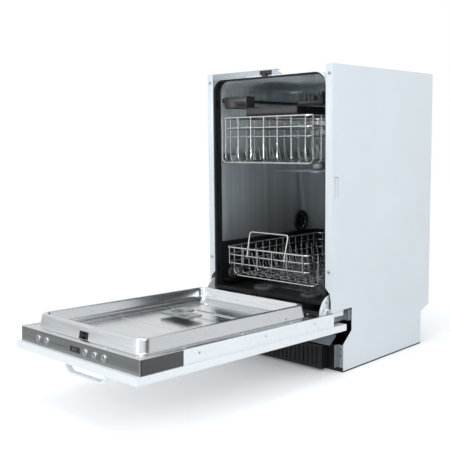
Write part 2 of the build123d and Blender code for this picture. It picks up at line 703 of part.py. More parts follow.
def rinse_cap():
    top = CASE_TOP_Z + LINER_T + DISP_H
    mid = (DISP_Y0 + DISP_Y1) / 2
    cap = upright(RINSE_X, mid, top - 5.7, top + 1.5, RINSE_R)
    return cap + block(RINSE_X - 11, RINSE_X + 11, mid - 2, mid + 2, top + 1.5, top + 4)


def door_seal():
    half = RIM_BASE_HALF - 1
    return block(-half, half, -20, -12, CASE_TOP_Z + LINER_T, CASE_TOP_Z + LINER_T + 5)


def liner_screws():
    heads = []
    z = CASE_TOP_Z + LINER_T
    for x in (-200, -95, 95, 200):
        heads.append(upright(x, CASE_FRONT + 10, z, z + SCREW_H, SCREW_R))
    for y in (-515, -330, -150):
        for x in (-211, 211):
            heads.append(upright(x, y, z, z + SCREW_H, SCREW_R))
    return heads


# ---------- baskets
def ring(half, y0, y1, z, size):
    """A rectangular wire ring."""
    out = size / 2
    solid = block(-half - out, half + out, y0 - out, y1 + out, z - out, z + out)
    return solid - block(-half + out, half - out, y0 + out, y1 - out, z - size, z + size)


def steps(first, last, count):
    return [first + (last - first) * i / (count - 1) for i in range(count)]


def wire_basket(half, rings, floor, toe_y, rows, cols):
    """Rings, cross frames that run from side to side, and lengthwise frames from front to back."""
    y0, y1 = BASKET_FRONT, BASKET_REAR
    top = rings[0]
    frame = ring(half, y0, y1, rings[0], RAIL_WIRE)
    for z in rings[1:]:
        frame += ring(half, y0, y1, z, RAIL_WIRE)
    knee = rings[-1]
    wires = []
    for y in steps(toe_y, y1, rows):
        wires.append(bar((-half, y, floor), (half, y, floor), WIRE))
        for x in (-half, half):
            wires.append(bar((x, y, floor), (x, y, top), WIRE))
    for x in steps(-half, half, cols):
        wires.append(bar((x, toe_y, floor), (x, y1, floor), WIRE))
        wires.append(bar((x, y0, knee), (x, y0, top), WIRE))
        wires.append(bar((x, y1, floor), (x, y1, top), WIRE))
        if toe_y > y0:
            wires.append(bar((x, y0, knee), (x, toe_y, floor + KNEE_UP), WIRE))
            wires.append(bar((x, toe_y, floor), (x, toe_y, floor + KNEE_UP), WIRE))
    return frame + wires


def lower_basket():
    basket = wire_basket(LOWER_HALF, LOWER_RINGS, LOWER_FLOOR, LOWER_TOE_Y, 13, 11)
    basket += tines(LOWER_TINES_X, 60, 420, 11, LOWER_FLOOR, LOWER_TINE_TOP)
    for side in (-1, 1):
        for y in WHEEL_Y:
            x0, x1 = sorted((side * (LOWER_HALF - 2), side * (WHEEL_X - WHEEL_W / 2 - 1)))
            basket += block(x0, x1, y - 10, y + 10, LOWER_FLOOR - 4, LOWER_FLOOR + 12)
            axle = sorted((side * (LOWER_HALF + 4), side * (WHEEL_X + WHEEL_W / 2)))
            basket += along_x(axle[0], axle[1], y, WHEEL_Z, AXLE_R)
    return basket + basket_handle()


def basket_handle():
    """A wire bow that leans back over the front rings."""
    y0, y1 = BASKET_FRONT + RAIL_WIRE / 2 - 0.5, BASKET_FRONT + 18
    z0, z1 = LOWER_RINGS[1], GRIP_TOP
    low, high = GRIP_LOW_HALF, GRIP_TOP_HALF
    lean = [(y0, z0), (y0 + 3.6, z0), (y1 + 3.6, z1), (y1, z1)]
    loop = side_profile(lean, -low, low)
    gap = [(4 - low, z0 - 5), (4 - high, z1 - 4), (high - 4, z1 - 4), (low - 4, z0 - 5)]
    outline = [(-low, z0 - 5), (-high, z1 + 5), (high, z1 + 5), (low, z0 - 5)]
    loop -= front_profile(gap, y0 - 10, y1 + 20)
    return loop & front_profile(outline, y0 - 10, y1 + 20)


def tines(xs, y0, y1, count, floor, high):
    """Rows of upright tines on the floor's lengthwise wires."""
    return [bar((x, y, floor), (x, y, high), WIRE) for x in xs for y in steps(y0, y1, count)]


def wheel(y):
    x0 = WHEEL_X - WHEEL_W / 2
    disc = along_x(x0, x0 + WHEEL_W, y, WHEEL_Z, WHEEL_R)
    disc -= along_x(x0 - 1, x0 + WHEEL_W + 1, y, WHEEL_Z, AXLE_R + PIN_GAP)
    for turn in range(5):
        hole = Rot(72 * turn, 0, 0) * Pos(0, 0, 10) * Rot(0, 90, 0) * Cylinder(2.6, 40)
        disc -= Pos(WHEEL_X, y, WHEEL_Z) * hole
    return disc


def upper_basket():
    basket = wire_basket(UPPER_HALF, UPPER_RINGS, UPPER_FLOOR, BASKET_FRONT, 13, 11)
    basket += tines(UPPER_TINES_X, 30, 420, 12, UPPER_FLOOR, UPPER_TINE_TOP)
    for side in (-1, 1):
        x0, x1 = sorted((side * (UPPER_HALF - 1), side * (SLIDE_X - 0.5)))
        for y in (68.0, 254.0, 403.0):
            basket += block(x0, x1, y - 15, y + 15, RAIL_Z - 8, RAIL_Z + 8)
    return basket


def upper_feed():
    """The water pipe under the upper basket, from its dock at the back to the spray arm."""
    middle = (DUCT_X0 + DUCT_X1) / 2
    dock = TUB_BACK - DUCT_T - 7
    pipe = along_y(middle, UPPER_ARM_Y, dock, FEED_Z, 9)
    pipe += along_y(middle, dock - 8, dock, FEED_Z, 13)
    pipe += block(-10, middle + 9, UPPER_ARM_Y - 10, UPPER_ARM_Y + 10, FEED_Z - 7, FEED_Z + 9)
    pipe += upright(0, UPPER_ARM_Y, FEED_Z - 7, UPPER_FLOOR - WIRE / 2, 16)
    return pipe + upright(0, UPPER_ARM_Y, UPPER_ARM_Z - 2, FEED_Z, SPINDLE_R)


def spray_arm(cx, cy, z0, thick, radius, spindle):
    """A two-bladed arm with a hub and a bore for its spindle."""
    blade = RectangleRounded(2 * radius, 34, 16.5)
    arm = extrude(Pos(cx, cy, z0) * blade, thick)
    arm += upright(cx, cy, z0, z0 + thick, 26)
    for i in range(1, 6):
        for side in (-1, 1):
            arm -= upright(cx + side * (26 + i * 24), cy + side * 5, z0 + thick - 2, z0 + thick + 1, 2)
    return arm - upright(cx, cy, z0 - 1, z0 + thick + 1, spindle)


def slide_members():
    x0, x1 = SLIDE_X, SLIDE_X + SLIDE_T
    member = block(x0, x1, 40, 430, RAIL_Z - 9, RAIL_Z + 9)
    member -= block(x0 - 1, x0 + 2, 30, 440, RAIL_Z - 5, RAIL_Z + 5)
    return both(member)


def fixed_rails():
    x0 = SLIDE_X + SLIDE_T + 0.5
    rail = block(x0, TUB_HALF, 36, 450, RAIL_Z - 13, RAIL_Z + 13)
    return both(rail)


def tray_rails():
    rail = block(TRAY_HALF + 6, TUB_HALF, 36, 450, TRAY_TOP - 14, TRAY_TOP - 1)
    rail -= block(TRAY_HALF + 5, TUB_HALF - 6, 30, 460, TRAY_TOP - 10.5, TRAY_TOP - 4.5)
    return both(rail)


def cutlery_tray():
    t = 2.0
    outer = block(-TRAY_STEP_X, TRAY_STEP_X, TRAY_FRONT, TRAY_REAR, TRAY_FLOOR, TRAY_TOP)
    outer += block(-TRAY_HALF, TRAY_HALF, TRAY_FRONT, TRAY_REAR, TRAY_STEP_Z, TRAY_TOP)
    tray = outer - block(-TRAY_STEP_X + t, TRAY_STEP_X - t, TRAY_FRONT + t, TRAY_REAR - t, TRAY_FLOOR + t,
                         TRAY_TOP + 5)
    for side in (-1, 1):
        x0, x1 = sorted((side * (TRAY_STEP_X + t), side * (TRAY_HALF - t)))
        tray -= block(x0, x1, TRAY_FRONT + t, TRAY_REAR - t, TRAY_STEP_Z + t, TRAY_TOP + 5)
        lip = sorted((side * (TRAY_HALF - t), side * (TUB_HALF - 6.5)))
        tray += block(lip[0], lip[1], 60, 430, TRAY_TOP - 10, TRAY_TOP - 5)
    tray -= block(-TRAY_STEP_X + 8, TRAY_STEP_X - 8, TRAY_FRONT - 1, TRAY_FRONT + 5, TRAY_TOP - 18,
                  TRAY_TOP + 5)
    return tray


os.makedirs("parts", exist_ok=True)

pair("side_panel", side_panel())
save("top_plate", top_plate())
save("rear_panel", rear_panel())
save("base_tray", base_tray())
save("toe_cover", toe_cover())
save("front_brackets", [front_brace(), base_slope()] + both(corner_bracket()))
for place, (foot_x, foot_y) in FEET.items():
    save("foot_" + place, foot(foot_x, foot_y))
save("inlet_valve", stub(INLET_X, INLET_R, INLET_BORE, INLET_HOOD))
save("drain_stub", stub(DRAIN_X, DRAIN_R, DRAIN_BORE, DRAIN_HOOD))
save("power_inlet", stub(POWER_X, POWER_R, POWER_BORE, POWER_HOOD))
save("sump", sump())
save("circulation_pump", circulation_pump())
save("drain_pump", drain_pump())
save("softener_tank", softener())
save("counterweight", block(-212, -90, 340, 418, 8, 92))

save("tub_shell", tub_shell())
save("tub_tank", tub_tank())
save("gasket", gasket())
save("lock_strike", lock_strike())
save("vent_nut", vent_nut())
save("water_duct", water_duct())
save("filter_plate", filter_plate())
save("filter_cup", filter_cup())
save("salt_cap", salt_cap())
save("lower_spray_arm", spray_arm(0, ARM_CENTRE_Y, TANK_FLOOR + 4, 11, SPRAY_R, SPINDLE_R + PIN_GAP))
save("rack_rails", fixed_rails() + tray_rails())

save("hinge_brackets", both(hinge_bracket()))
save("hinge_arms", both(hinge_arm()), on_door=True)
save("hinge_cheeks", both(hinge_cheek()), on_door=True)
save("door_springs", both(door_spring()))

save("door_casing", door_casing(), on_door=True)
save("control_fascia", control_fascia(), on_door=True)
save("door_liner", door_liner(), on_door=True)
save("furniture_panel", furniture_panel(), on_door=True)
save("handle", handle(), on_door=True)
for number, button_x in enumerate(BUTTON_X, 1):
    save("button_" + str(number), button(button_x), on_door=True)
save("display_window", display_window(), on_door=True)
save("control_board", control_board(), on_door=True)
save("door_latch", door_latch(), on_door=True)
save("latch_bolt", latch_bolt(), on_door=True)
save("dispenser_body", dispenser_body(), on_door=True)
save("dispenser_lid", dispenser_lid(), on_door=True)
save("rinse_cap", rinse_cap(), on_door=True)
save("door_seal", door_seal(), on_door=True)
save("liner_screws", liner_screws(), on_door=True)

save("upper_slides", slide_members())
save("upper_basket", upper_basket())
save("upper_feed", upper_feed())
save("upper_spray_arm", spray_arm(0, UPPER_ARM_Y, UPPER_ARM_Z, 9, SPRAY_R, SPINDLE_R + PIN_GAP))
save("cutlery_tray", cutlery_tray())
save("lower_basket", lower_basket())
for end_name, wheel_y in (("front", WHEEL_Y[0]), ("rear", WHEEL_Y[1])):
    save("wheels_" + end_name, both(wheel(wheel_y)))
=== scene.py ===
import json
import math
from collections import namedtuple

import bpy
import bmesh
from mathutils import Matrix, Vector


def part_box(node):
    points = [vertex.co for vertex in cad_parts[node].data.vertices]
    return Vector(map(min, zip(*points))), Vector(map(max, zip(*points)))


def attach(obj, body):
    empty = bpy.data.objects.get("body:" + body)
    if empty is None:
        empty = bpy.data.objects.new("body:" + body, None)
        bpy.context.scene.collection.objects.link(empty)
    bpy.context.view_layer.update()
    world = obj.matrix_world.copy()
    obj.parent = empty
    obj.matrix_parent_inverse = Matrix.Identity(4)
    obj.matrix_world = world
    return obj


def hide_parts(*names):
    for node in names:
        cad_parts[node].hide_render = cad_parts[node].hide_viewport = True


# Slim built-in dishwasher, door open: the looks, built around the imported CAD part.
# Lengths in this script are millimetres, with x = 0 on the middle plane, y = 0 on the front flanges and
# z = 0 on the floor. Lamps and the floor are in metres. The door's pieces are made for a door that
# lies flat, and then turned with it.

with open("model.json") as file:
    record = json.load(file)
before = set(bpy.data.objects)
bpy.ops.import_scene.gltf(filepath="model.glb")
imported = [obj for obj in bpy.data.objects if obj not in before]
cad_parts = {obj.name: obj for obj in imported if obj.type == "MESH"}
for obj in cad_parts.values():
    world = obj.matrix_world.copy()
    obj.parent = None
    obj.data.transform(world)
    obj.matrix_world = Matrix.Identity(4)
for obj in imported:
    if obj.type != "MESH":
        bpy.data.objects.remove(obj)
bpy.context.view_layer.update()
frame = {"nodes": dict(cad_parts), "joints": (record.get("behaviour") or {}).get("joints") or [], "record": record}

MM = 0.001
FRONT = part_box("side_panel_right")[0].y
JOINTS = {joint["name"]: joint for joint in frame["joints"]}
HINGE = Vector(JOINTS["door_hinge"]["pos_m"])
TILT = math.radians(JOINTS["door_hinge"]["range_deg"][1] - 90)
DOOR_TURN = Matrix.Translation(HINGE) @ Matrix.Rotation(TILT, 4, "X") @ Matrix.Translation(-HINGE)
TO_ROW = Matrix.Translation((0, FRONT, 0)) @ Matrix.Diagonal((MM, MM, MM, 1))

Ring = namedtuple("Ring", "half y0 y1 r z")


class Box(namedtuple("Box", "x0 x1 y0 y1 z0 z1")):
    """A box whose middle is (x, y, z)."""

    @property
    def x(self):
        return (self.x0 + self.x1) / 2

    @property
    def y(self):
        return (self.y0 + self.y1) / 2

    @property
    def z(self):
        return (self.z0 + self.z1) / 2


def near(node, on_door=False):
    """A CAD node's box in this script's millimetres, with the door lying flat."""
    back = (DOOR_TURN @ TO_ROW if on_door else TO_ROW).inverted()
    points = [back @ v.co for v in frame["nodes"][node].data.vertices]
    spans = [(min(p[i] for p in points), max(p[i] for p in points)) for i in range(3)]
    return Box(*spans[0], *spans[1], *spans[2])


# ---------------------------------------------------------------- shapes
class Shape:
    """Points and faces gathered before they become one piece."""

    def __init__(self):
        self.verts = []
        self.faces = []

    def add(self, verts, faces):
        base = len(self.verts)
        self.verts += [tuple(v) for v in verts]
        self.faces += [tuple(base + i for i in face) for face in faces]
        return self

    def block(self, x0, x1, y0, y1, z0, z1):
        verts = [(x, y, z) for z in (z0, z1) for y in (y0, y1) for x in (x0, x1)]
        faces = [(0, 2, 3, 1), (4, 5, 7, 6), (0, 1, 5, 4), (2, 6, 7, 3), (0, 4, 6, 2), (1, 3, 7, 5)]
        return self.add(verts, faces)

    def skin(self, rings, closed=True, first=True, last=True, wrap=False):
        """Faces between rings of the same number of points, with an end face on the first and last."""
        count = len(rings[0])
        verts = [p for ring in rings for p in ring]
        faces = []
        for row in range(len(rings) if wrap else len(rings) - 1):
            a, b = row * count, (row + 1) % len(rings) * count
            for i in range(count if closed else count - 1):
                j = (i + 1) % count
                faces.append((a + i, a + j, b + j, b + i))
        if first and not wrap:
            faces.append(tuple(reversed(range(count))))
        if last and not wrap:
            top = (len(rings) - 1) * count
            faces.append(tuple(range(top, top + count)))
        return self.add(verts, faces)

    def tube(self, path, r, sides=8, closed=False):
        """A round wire along a path."""
        return self.skin(swept(path, circle(r, sides), closed), wrap=closed)

    def lathe(self, centre, axis, profile, steps=32):
        """A turned form: the profile lists (radius, place along the axis)."""
        along = Vector(axis).normalized()
        side = along.orthogonal().normalized()
        other = along.cross(side)
        rings = []
        for r, h in profile:
            rings.append([Vector(centre) + along * h + (side * c + other * s) * r for c, s in around(steps)])
        return self.skin(rings)

    def prism(self, outline, axis, low, high):
        """An outline of two coordinates, given thickness along the third."""
        return self.skin([flat(outline, axis, at) for at in (low, high)])


def flat(outline, axis, at):
    """A plane outline's points, square to an axis."""
    return [{"x": (at, a, b), "y": (a, at, b), "z": (a, b, at)}[axis] for a, b in outline]


def around(count, start=0):
    """Cosine and sine at equal steps round a circle, from a start in degrees."""
    turns = [math.radians(start) + math.tau * k / count for k in range(count)]
    return [(math.cos(t), math.sin(t)) for t in turns]


def circle(r, sides):
    return [(r * c, r * s) for c, s in around(sides)]


def span(side, a, b):
    """Two distances from the middle plane as x values on one side, the smaller first."""
    return sorted((side * a, side * b))


def swept(path, section, closed=False, up=None):
    """Rings of a section carried along a path. A fixed up direction keeps a flat section level."""
    path = [Vector(p) for p in path]
    count = len(path)
    rings = []
    side = None
    for i, point in enumerate(path):
        before = path[i - 1] if closed or i else path[0]
        after = path[(i + 1) % count] if closed or i < count - 1 else path[-1]
        go = (after - before).normalized()
        if up is not None:
            side = go.cross(Vector(up)).normalized()
        elif side is None:
            side = go.orthogonal().normalized()
        else:
            side = (side - go * side.dot(go)).normalized()
        other = side.cross(go)
        rings.append([point + side * a + other * b for a, b in section])
    return rings


def bend(points, r, closed=False, steps=4):
    """A polyline whose corners are rounded."""
    points = [Vector(p) for p in points]
    count = len(points)
    path = []
    for i, p in enumerate(points):
        if not closed and i in (0, count - 1):
            path.append(p)
            continue
        a, b = points[i - 1] - p, points[(i + 1) % count] - p
        turn = math.pi - a.angle(b)
        cut = min(r * math.tan(turn / 2), 0.48 * a.length, 0.48 * b.length)
        if cut < 1e-3:
            path.append(p)
            continue
        start, end = p + a.normalized() * cut, p + b.normalized() * cut
        for k in range(steps + 1):
            t = k / steps
            path.append(start * (1 - t) ** 2 + p * 2 * t * (1 - t) + end * t * t)
    return path


def rounded(x0, x1, y0, y1, r, steps=6):
    """A rectangle's outline with round corners."""
    r = min(r, (x1 - x0) / 2 - 0.01, (y1 - y0) / 2 - 0.01)
    corners = [(x1 - r, y1 - r, 0), (x0 + r, y1 - r, 90), (x0 + r, y0 + r, 180), (x1 - r, y0 + r, 270)]
    outline = []
    for cx, cy, start in corners:
        for k in range(steps + 1):
            t = math.radians(start + 90 * k / steps)
            outline.append((cx + r * math.cos(t), cy + r * math.sin(t)))
    return outline


def stacked(a0, a1, b0, b1, levels, steps=6, axis="z"):
    """Rings of a rounded rectangle: each level gives its inset, corner radius and place on the axis."""
    rings = []
    for inset, r, at in levels:
        outline = rounded(a0 + inset, a1 - inset, b0 + inset, b1 - inset, r, steps)
        rings.append(flat(outline, axis, at))
    return rings


def steps_between(first, last, count):
    return [first + (last - first) * i / (count - 1) for i in range(count)]


def piece(name, shape, body, slot, replaces=(), on_door=False, bevel=0.0, sheet=0.0, sheet_side=0,
          angle=38, carve=None, normals=True):
    """Turn a shape into an object that rides on a body and has its slot's material."""
    mesh = bpy.data.meshes.new(name)
    mesh.from_pydata(shape.verts, [], shape.faces)
    work = bmesh.new()
    work.from_mesh(mesh)
    bmesh.ops.remove_doubles(work, verts=work.verts, dist=0.002)
    if normals:
        bmesh.ops.recalc_face_normals(work, faces=work.faces)
    work.to_mesh(mesh)
    work.free()
    mesh.transform(DOOR_TURN @ TO_ROW if on_door else TO_ROW)
    thing = bpy.data.objects.new(name, mesh)
    bpy.context.scene.collection.objects.link(thing)
    mesh.shade_smooth()
    if not bevel:
        mesh.set_sharp_from_angle(angle=math.radians(angle))
    if sheet:
        thick = thing.modifiers.new("sheet", "SOLIDIFY")
        thick.thickness = sheet * MM
        thick.offset = sheet_side
    if carve is not None:
        cut_away(thing, carve, on_door)
    if bevel:
        soft = thing.modifiers.new("edges", "BEVEL")
        soft.width = bevel * MM
        soft.segments = 2
        soft.limit_method = "ANGLE"
        soft.angle_limit = math.radians(angle)
        soft.harden_normals = True
    thing.data.materials.append(MATERIALS[slot])
    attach(thing, body)
    if replaces:
        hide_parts(*replaces)
    return thing


def cut_away(thing, carve, on_door):
    """Cut a shape out of an object, for good."""
    mesh = bpy.data.meshes.new("cutter")
    mesh.from_pydata(carve.verts, [], carve.faces)
    mesh.transform(DOOR_TURN @ TO_ROW if on_door else TO_ROW)
    cutter = bpy.data.objects.new("cutter", mesh)
    bpy.context.scene.collection.objects.link(cutter)
    cut = thing.modifiers.new("cut", "BOOLEAN")
    cut.operation = "DIFFERENCE"
    cut.solver = "EXACT"
    cut.object = cutter
    bpy.context.view_layer.update()
    whole = thing.evaluated_get(bpy.context.evaluated_depsgraph_get())
    result = bpy.data.meshes.new_from_object(whole)
    result.materials.clear()
    thing.modifiers.clear()
    thing.data = result
    bpy.data.objects.remove(cutter)


# ---------------------------------------------------------------- materials
class Finish:
    """A node material built on one Principled shader, in the object's own coordinates (metres)."""

    def __init__(self, name, colour, roughness, metallic=0.0, coat=0.0, specular=0.5):
        self.material = bpy.data.materials.new(name)
        self.material.use_nodes = True
        self.tree = self.material.node_tree
        self.shader = self.tree.nodes["Principled BSDF"]
        self.colour = colour
        self.shader.inputs["Base Color"].default_value = (*colour, 1)
        self.shader.inputs["Roughness"].default_value = roughness
        self.shader.inputs["Metallic"].default_value = metallic
        self.shader.inputs["Coat Weight"].default_value = coat
        self.shader.inputs["Coat Roughness"].default_value = 0.1
        self.shader.inputs["Specular IOR Level"].default_value = specular
        self.roughness = roughness
        self.height = None

    def node(self, kind, **values):
        made = self.tree.nodes.new(kind)
        for key, value in values.items():
            if key in made.inputs:
                made.inputs[key].default_value = value
            else:
                setattr(made, key, value)
        return made

    def link(self, a, b):
        self.tree.links.new(a, b)

    def coordinates(self, stretch):
        """The object's own coordinates. A small scale stretches the pattern along that axis."""
        place = self.node("ShaderNodeTexCoord")
        mapping = self.node("ShaderNodeMapping", Scale=stretch)
        self.link(place.outputs["Object"], mapping.inputs["Vector"])
        return mapping.outputs["Vector"]

    def noise(self, scale, stretch=(1, 1, 1), detail=3.0, rough=0.55):
        made = self.node("ShaderNodeTexNoise", Scale=scale, Detail=detail, Roughness=rough)
        self.link(self.coordinates(stretch), made.inputs["Vector"])
        return made.outputs["Fac"]

    def cells(self, scale, stretch=(1, 1, 1)):
        made = self.node("ShaderNodeTexVoronoi", Scale=scale)
        self.link(self.coordinates(stretch), made.inputs["Vector"])
        return made

    def upright_only(self, source, level_value):
        """The pattern on upright faces, and one plain value on level ones."""
        place = self.node("ShaderNodeTexCoord")
        parts = self.node("ShaderNodeSeparateXYZ")
        self.link(place.outputs["Normal"], parts.inputs[0])
        level = self.node("ShaderNodeMath", operation="ABSOLUTE")
        self.link(parts.outputs["Z"], level.inputs[0])
        made = self.node("ShaderNodeMix", data_type="FLOAT")
        self.link(level.outputs[0], made.inputs["Factor"])
        self.link(source, made.inputs["A"])
        made.inputs["B"].default_value = level_value
        return made.outputs["Result"]

    def vary_colour(self, source, darker, lighter, low=0.3, high=0.7):
        ramp = self.node("ShaderNodeValToRGB")
        ramp.color_ramp.elements[0].position = low
        ramp.color_ramp.elements[1].position = high
        ramp.color_ramp.elements[0].color = (*[c * darker for c in self.colour], 1)
        ramp.color_ramp.elements[1].color = (*[min(1, c * lighter) for c in self.colour], 1)
        self.link(source, ramp.inputs["Fac"])
        self.link(ramp.outputs["Color"], self.shader.inputs["Base Color"])
        return self

    def vary_roughness(self, source, spread):
        fade = self.node("ShaderNodeMapRange")
        fade.inputs["From Min"].default_value = 0.3
        fade.inputs["From Max"].default_value = 0.7
        fade.inputs["To Min"].default_value = max(0.02, self.roughness - spread)
        fade.inputs["To Max"].default_value = min(1.0, self.roughness + spread)
        self.link(source, fade.inputs["Value"])
        self.link(fade.outputs["Result"], self.shader.inputs["Roughness"])
        return self

    def bump(self, source, depth_mm, strength=1.0):
        made = self.node("ShaderNodeBump", Strength=strength, Distance=depth_mm * MM)
        if self.height is not None:
            self.link(self.height, made.inputs["Normal"])
        self.link(source, made.inputs["Height"])
        self.link(made.outputs["Normal"], self.shader.inputs["Normal"])
        self.height = made.outputs["Normal"]
        return self


def textured(name, colour, roughness, tone, gloss, relief, **looks):
    """A finish whose tone, gloss and surface each follow a noise of their own.

    tone gives the noise's scale and detail, and how dark and how light it goes. gloss and relief give
    the scale, the detail and the roughness spread or the depth in millimetres.
    """
    finish = Finish(name, colour, roughness, **looks)
    scale, detail, darker, lighter = tone
    finish.vary_colour(finish.noise(scale, detail=detail), darker, lighter)
    scale, detail, spread = gloss
    finish.vary_roughness(finish.noise(scale, detail=detail), spread)
    scale, detail, depth = relief
    finish.bump(finish.noise(scale, detail=detail), depth)
    return finish.material


def painted(name, colour, roughness, coat=0.0):
    """Powder coat: a fine orange peel and a very slight change of tone."""
    return textured(name, colour, roughness, (6, 3, 0.975, 1.02), (40, 3, 0.05), (900, 2, 0.03), coat=coat)


def brushed(name, colour, roughness, stretch, metallic=1.0):
    """Steel with fine brush lines along the axis whose stretch is small."""
    finish = Finish(name, colour, roughness, metallic=metallic)
    lines = finish.noise(700, stretch, detail=4, rough=0.7)
    finish.vary_colour(lines, 0.86, 1.1)
    finish.vary_roughness(finish.noise(300, stretch), 0.08)
    finish.bump(lines, 0.012)
    return finish.material


def galvanised(name, colour):
    """Zinc spangle: flat crystals of slightly different grey."""
    finish = Finish(name, colour, 0.36, metallic=0.85)
    spangle = finish.cells(120)
    finish.vary_colour(spangle.outputs["Color"], 0.94, 1.04, 0.1, 0.9)
    finish.vary_roughness(finish.cells(120).outputs["Color"], 0.05)
    finish.bump(finish.noise(60), 0.05)
    return finish.material


def polished(name, colour, roughness, metallic):
    """Bright rolled stainless steel with a slight waviness that runs down the sheet. Upright faces carry light and
    dark vertical bands in the colour, as painted reflections.
    """
    finish = Finish(name, colour, roughness, metallic=metallic)
    # Painted reflections: light and dark vertical bands in the colour of upright faces, standing in for the studio
    # seen in the steel
    painted_reflection_bands = finish.upright_only(finish.noise(42, (1, 1, 0.008), detail=3), 0.5)
    finish.vary_colour(painted_reflection_bands, 0.68, 1.08, 0.38, 0.62)
    finish.vary_roughness(finish.noise(500, (1, 1, 0.02)), 0.03)
    finish.bump(finish.noise(26, (1, 1, 0.06), detail=1), 0.9)
    finish.bump(finish.noise(900, (1, 1, 0.02)), 0.004)
    return finish.material


def moulded(name, colour, roughness, specular=0.5):
    """Injection-moulded plastic with a spark-eroded grain."""
    return textured(name, colour, roughness, (25, 3, 0.9, 1.1), (180, 3, 0.07), (1500, 2, 0.05),
                    specular=specular)


def rubber(name, colour):
    return textured(name, colour, 0.62, (50, 3, 0.8, 1.3), (300, 3, 0.1), (2200, 3, 0.03), specular=0.35)


def wire_finish(name, colour):
    return textured(name, colour, 0.17, (120, 3, 0.9, 1.06), (260, 3, 0.05), (700, 3, 0.02), metallic=1.0)


def cast(name, colour, roughness, metallic):
    return textured(name, colour, roughness, (90, 6, 0.7, 1.25), (200, 3, 0.1), (260, 8, 0.3),
                    metallic=metallic)


def laminate(name, colour):
    """White melamine: a fine pearl texture under a thin clear layer."""
    return textured(name, colour, 0.42, (8, 3, 0.98, 1.01), (320, 4, 0.07), (1300, 3, 0.05), coat=0.12)


def circuit_board(name, colour):
    finish = Finish(name, colour, 0.35, coat=0.4)
    finish.vary_colour(finish.cells(900, (1, 0.2, 1)).outputs["Distance"], 0.6, 1.5)
    finish.bump(finish.noise(500), 0.05)
    return finish.material


def dark_glass(name, colour):
    finish = Finish(name, colour, 0.06, coat=0.5)
    finish.vary_colour(finish.noise(60), 0.8, 1.2)
    finish.vary_roughness(finish.noise(90), 0.02)
    return finish.material


MATERIALS = {
    "painted_steel": painted("painted_steel", (0.62, 0.67, 0.70), 0.38, coat=0.1),
    "galvanised": galvanised("galvanised", (0.40, 0.44, 0.47)),
    "stainless_mirror": polished("stainless_mirror", (0.78, 0.85, 0.89), 0.16, 0.45),
    "stainless_satin": brushed("stainless_satin", (0.66, 0.68, 0.69), 0.20, (0.02, 1, 1)),
    "fascia_steel": brushed("fascia_steel", (0.36, 0.37, 0.37), 0.34, (0.01, 1, 1)),
    "casing_steel": painted("casing_steel", (0.72, 0.76, 0.79), 0.30),
    "black_plastic": moulded("black_plastic", (0.013, 0.013, 0.014), 0.45, specular=0.3),
    "black_rubber": rubber("black_rubber", (0.010, 0.010, 0.011)),
    "grey_plastic": moulded("grey_plastic", (0.20, 0.215, 0.22), 0.34),
    "dark_grey_plastic": moulded("dark_grey_plastic", (0.060, 0.070, 0.076), 0.40),
    "pump_metal": cast("pump_metal", (0.50, 0.51, 0.53), 0.45, 1.0),
    "cast_weight": cast("cast_weight", (0.09, 0.09, 0.09), 0.75, 0.3),
    "coated_wire": wire_finish("coated_wire", (0.60, 0.60, 0.59)),
    "front_board": laminate("front_board", (0.73, 0.76, 0.78)),
    "handle_white": painted("handle_white", (0.80, 0.86, 0.89), 0.30, coat=0.2),
    "display_glass": dark_glass("display_glass", (0.012, 0.013, 0.015)),
    "board_green": circuit_board("board_green", (0.04, 0.16, 0.07)),
    "button_chrome": brushed("button_chrome", (0.66, 0.67, 0.68), 0.2, (1, 0.05, 1)),
}


def dress_cad():
    """Give every CAD node its slot's material."""
    for entry in frame["record"]["subparts"]:
        thing = frame["nodes"][entry["node"]]
        thing.data.materials.clear()
        thing.data.materials.append(MATERIALS[entry["material_slot"]])


# ---------------------------------------------------------------- tub
SHEET = 0.8
TUB_CORNER = 34.0             # where the walls meet the top
BACK_CORNER = 30.0            # where the walls and the top meet the back
VENT_HOLE_R = 22
BEAD_R = 2.6
BEAD_TOP = 716
BEAD_FOOT = 46                # above the tub's lower edge
BEAD_LOOPS = ((-145, -114), (-87, -56))
BEAD_LINES = (59, 98, 132)
LEDGE_Z = 209.7               # the runway of the lower basket's wheels
LEDGE_FRONT = 32
SIDE_RIBS = range(60, 460, 34)
BACK_RIBS = range(-180, 190, 40)
CLIP_HEIGHTS = (247, 366, 485, 608, 732)
CLIP_PLACES = (-120, -60, 60, 120)
DOCK_Z = 546.0                # where the upper basket's feed pipe meets the duct


def arch(half, low, top, r, steps=10):
    """The tub's outline seen from the front, open at the bottom, as (x, z)."""
    points = [(-half, low)]
    for k in range(steps + 1):
        t = math.radians(180 - 90 * k / steps)
        points.append((-half + r + r * math.cos(t), top - r + r * math.sin(t)))
    for k in range(steps + 1):
        t = math.radians(90 - 90 * k / steps)
        points.append((half - r + r * math.cos(t), top - r + r * math.sin(t)))
    points.append((half, low))
    return points


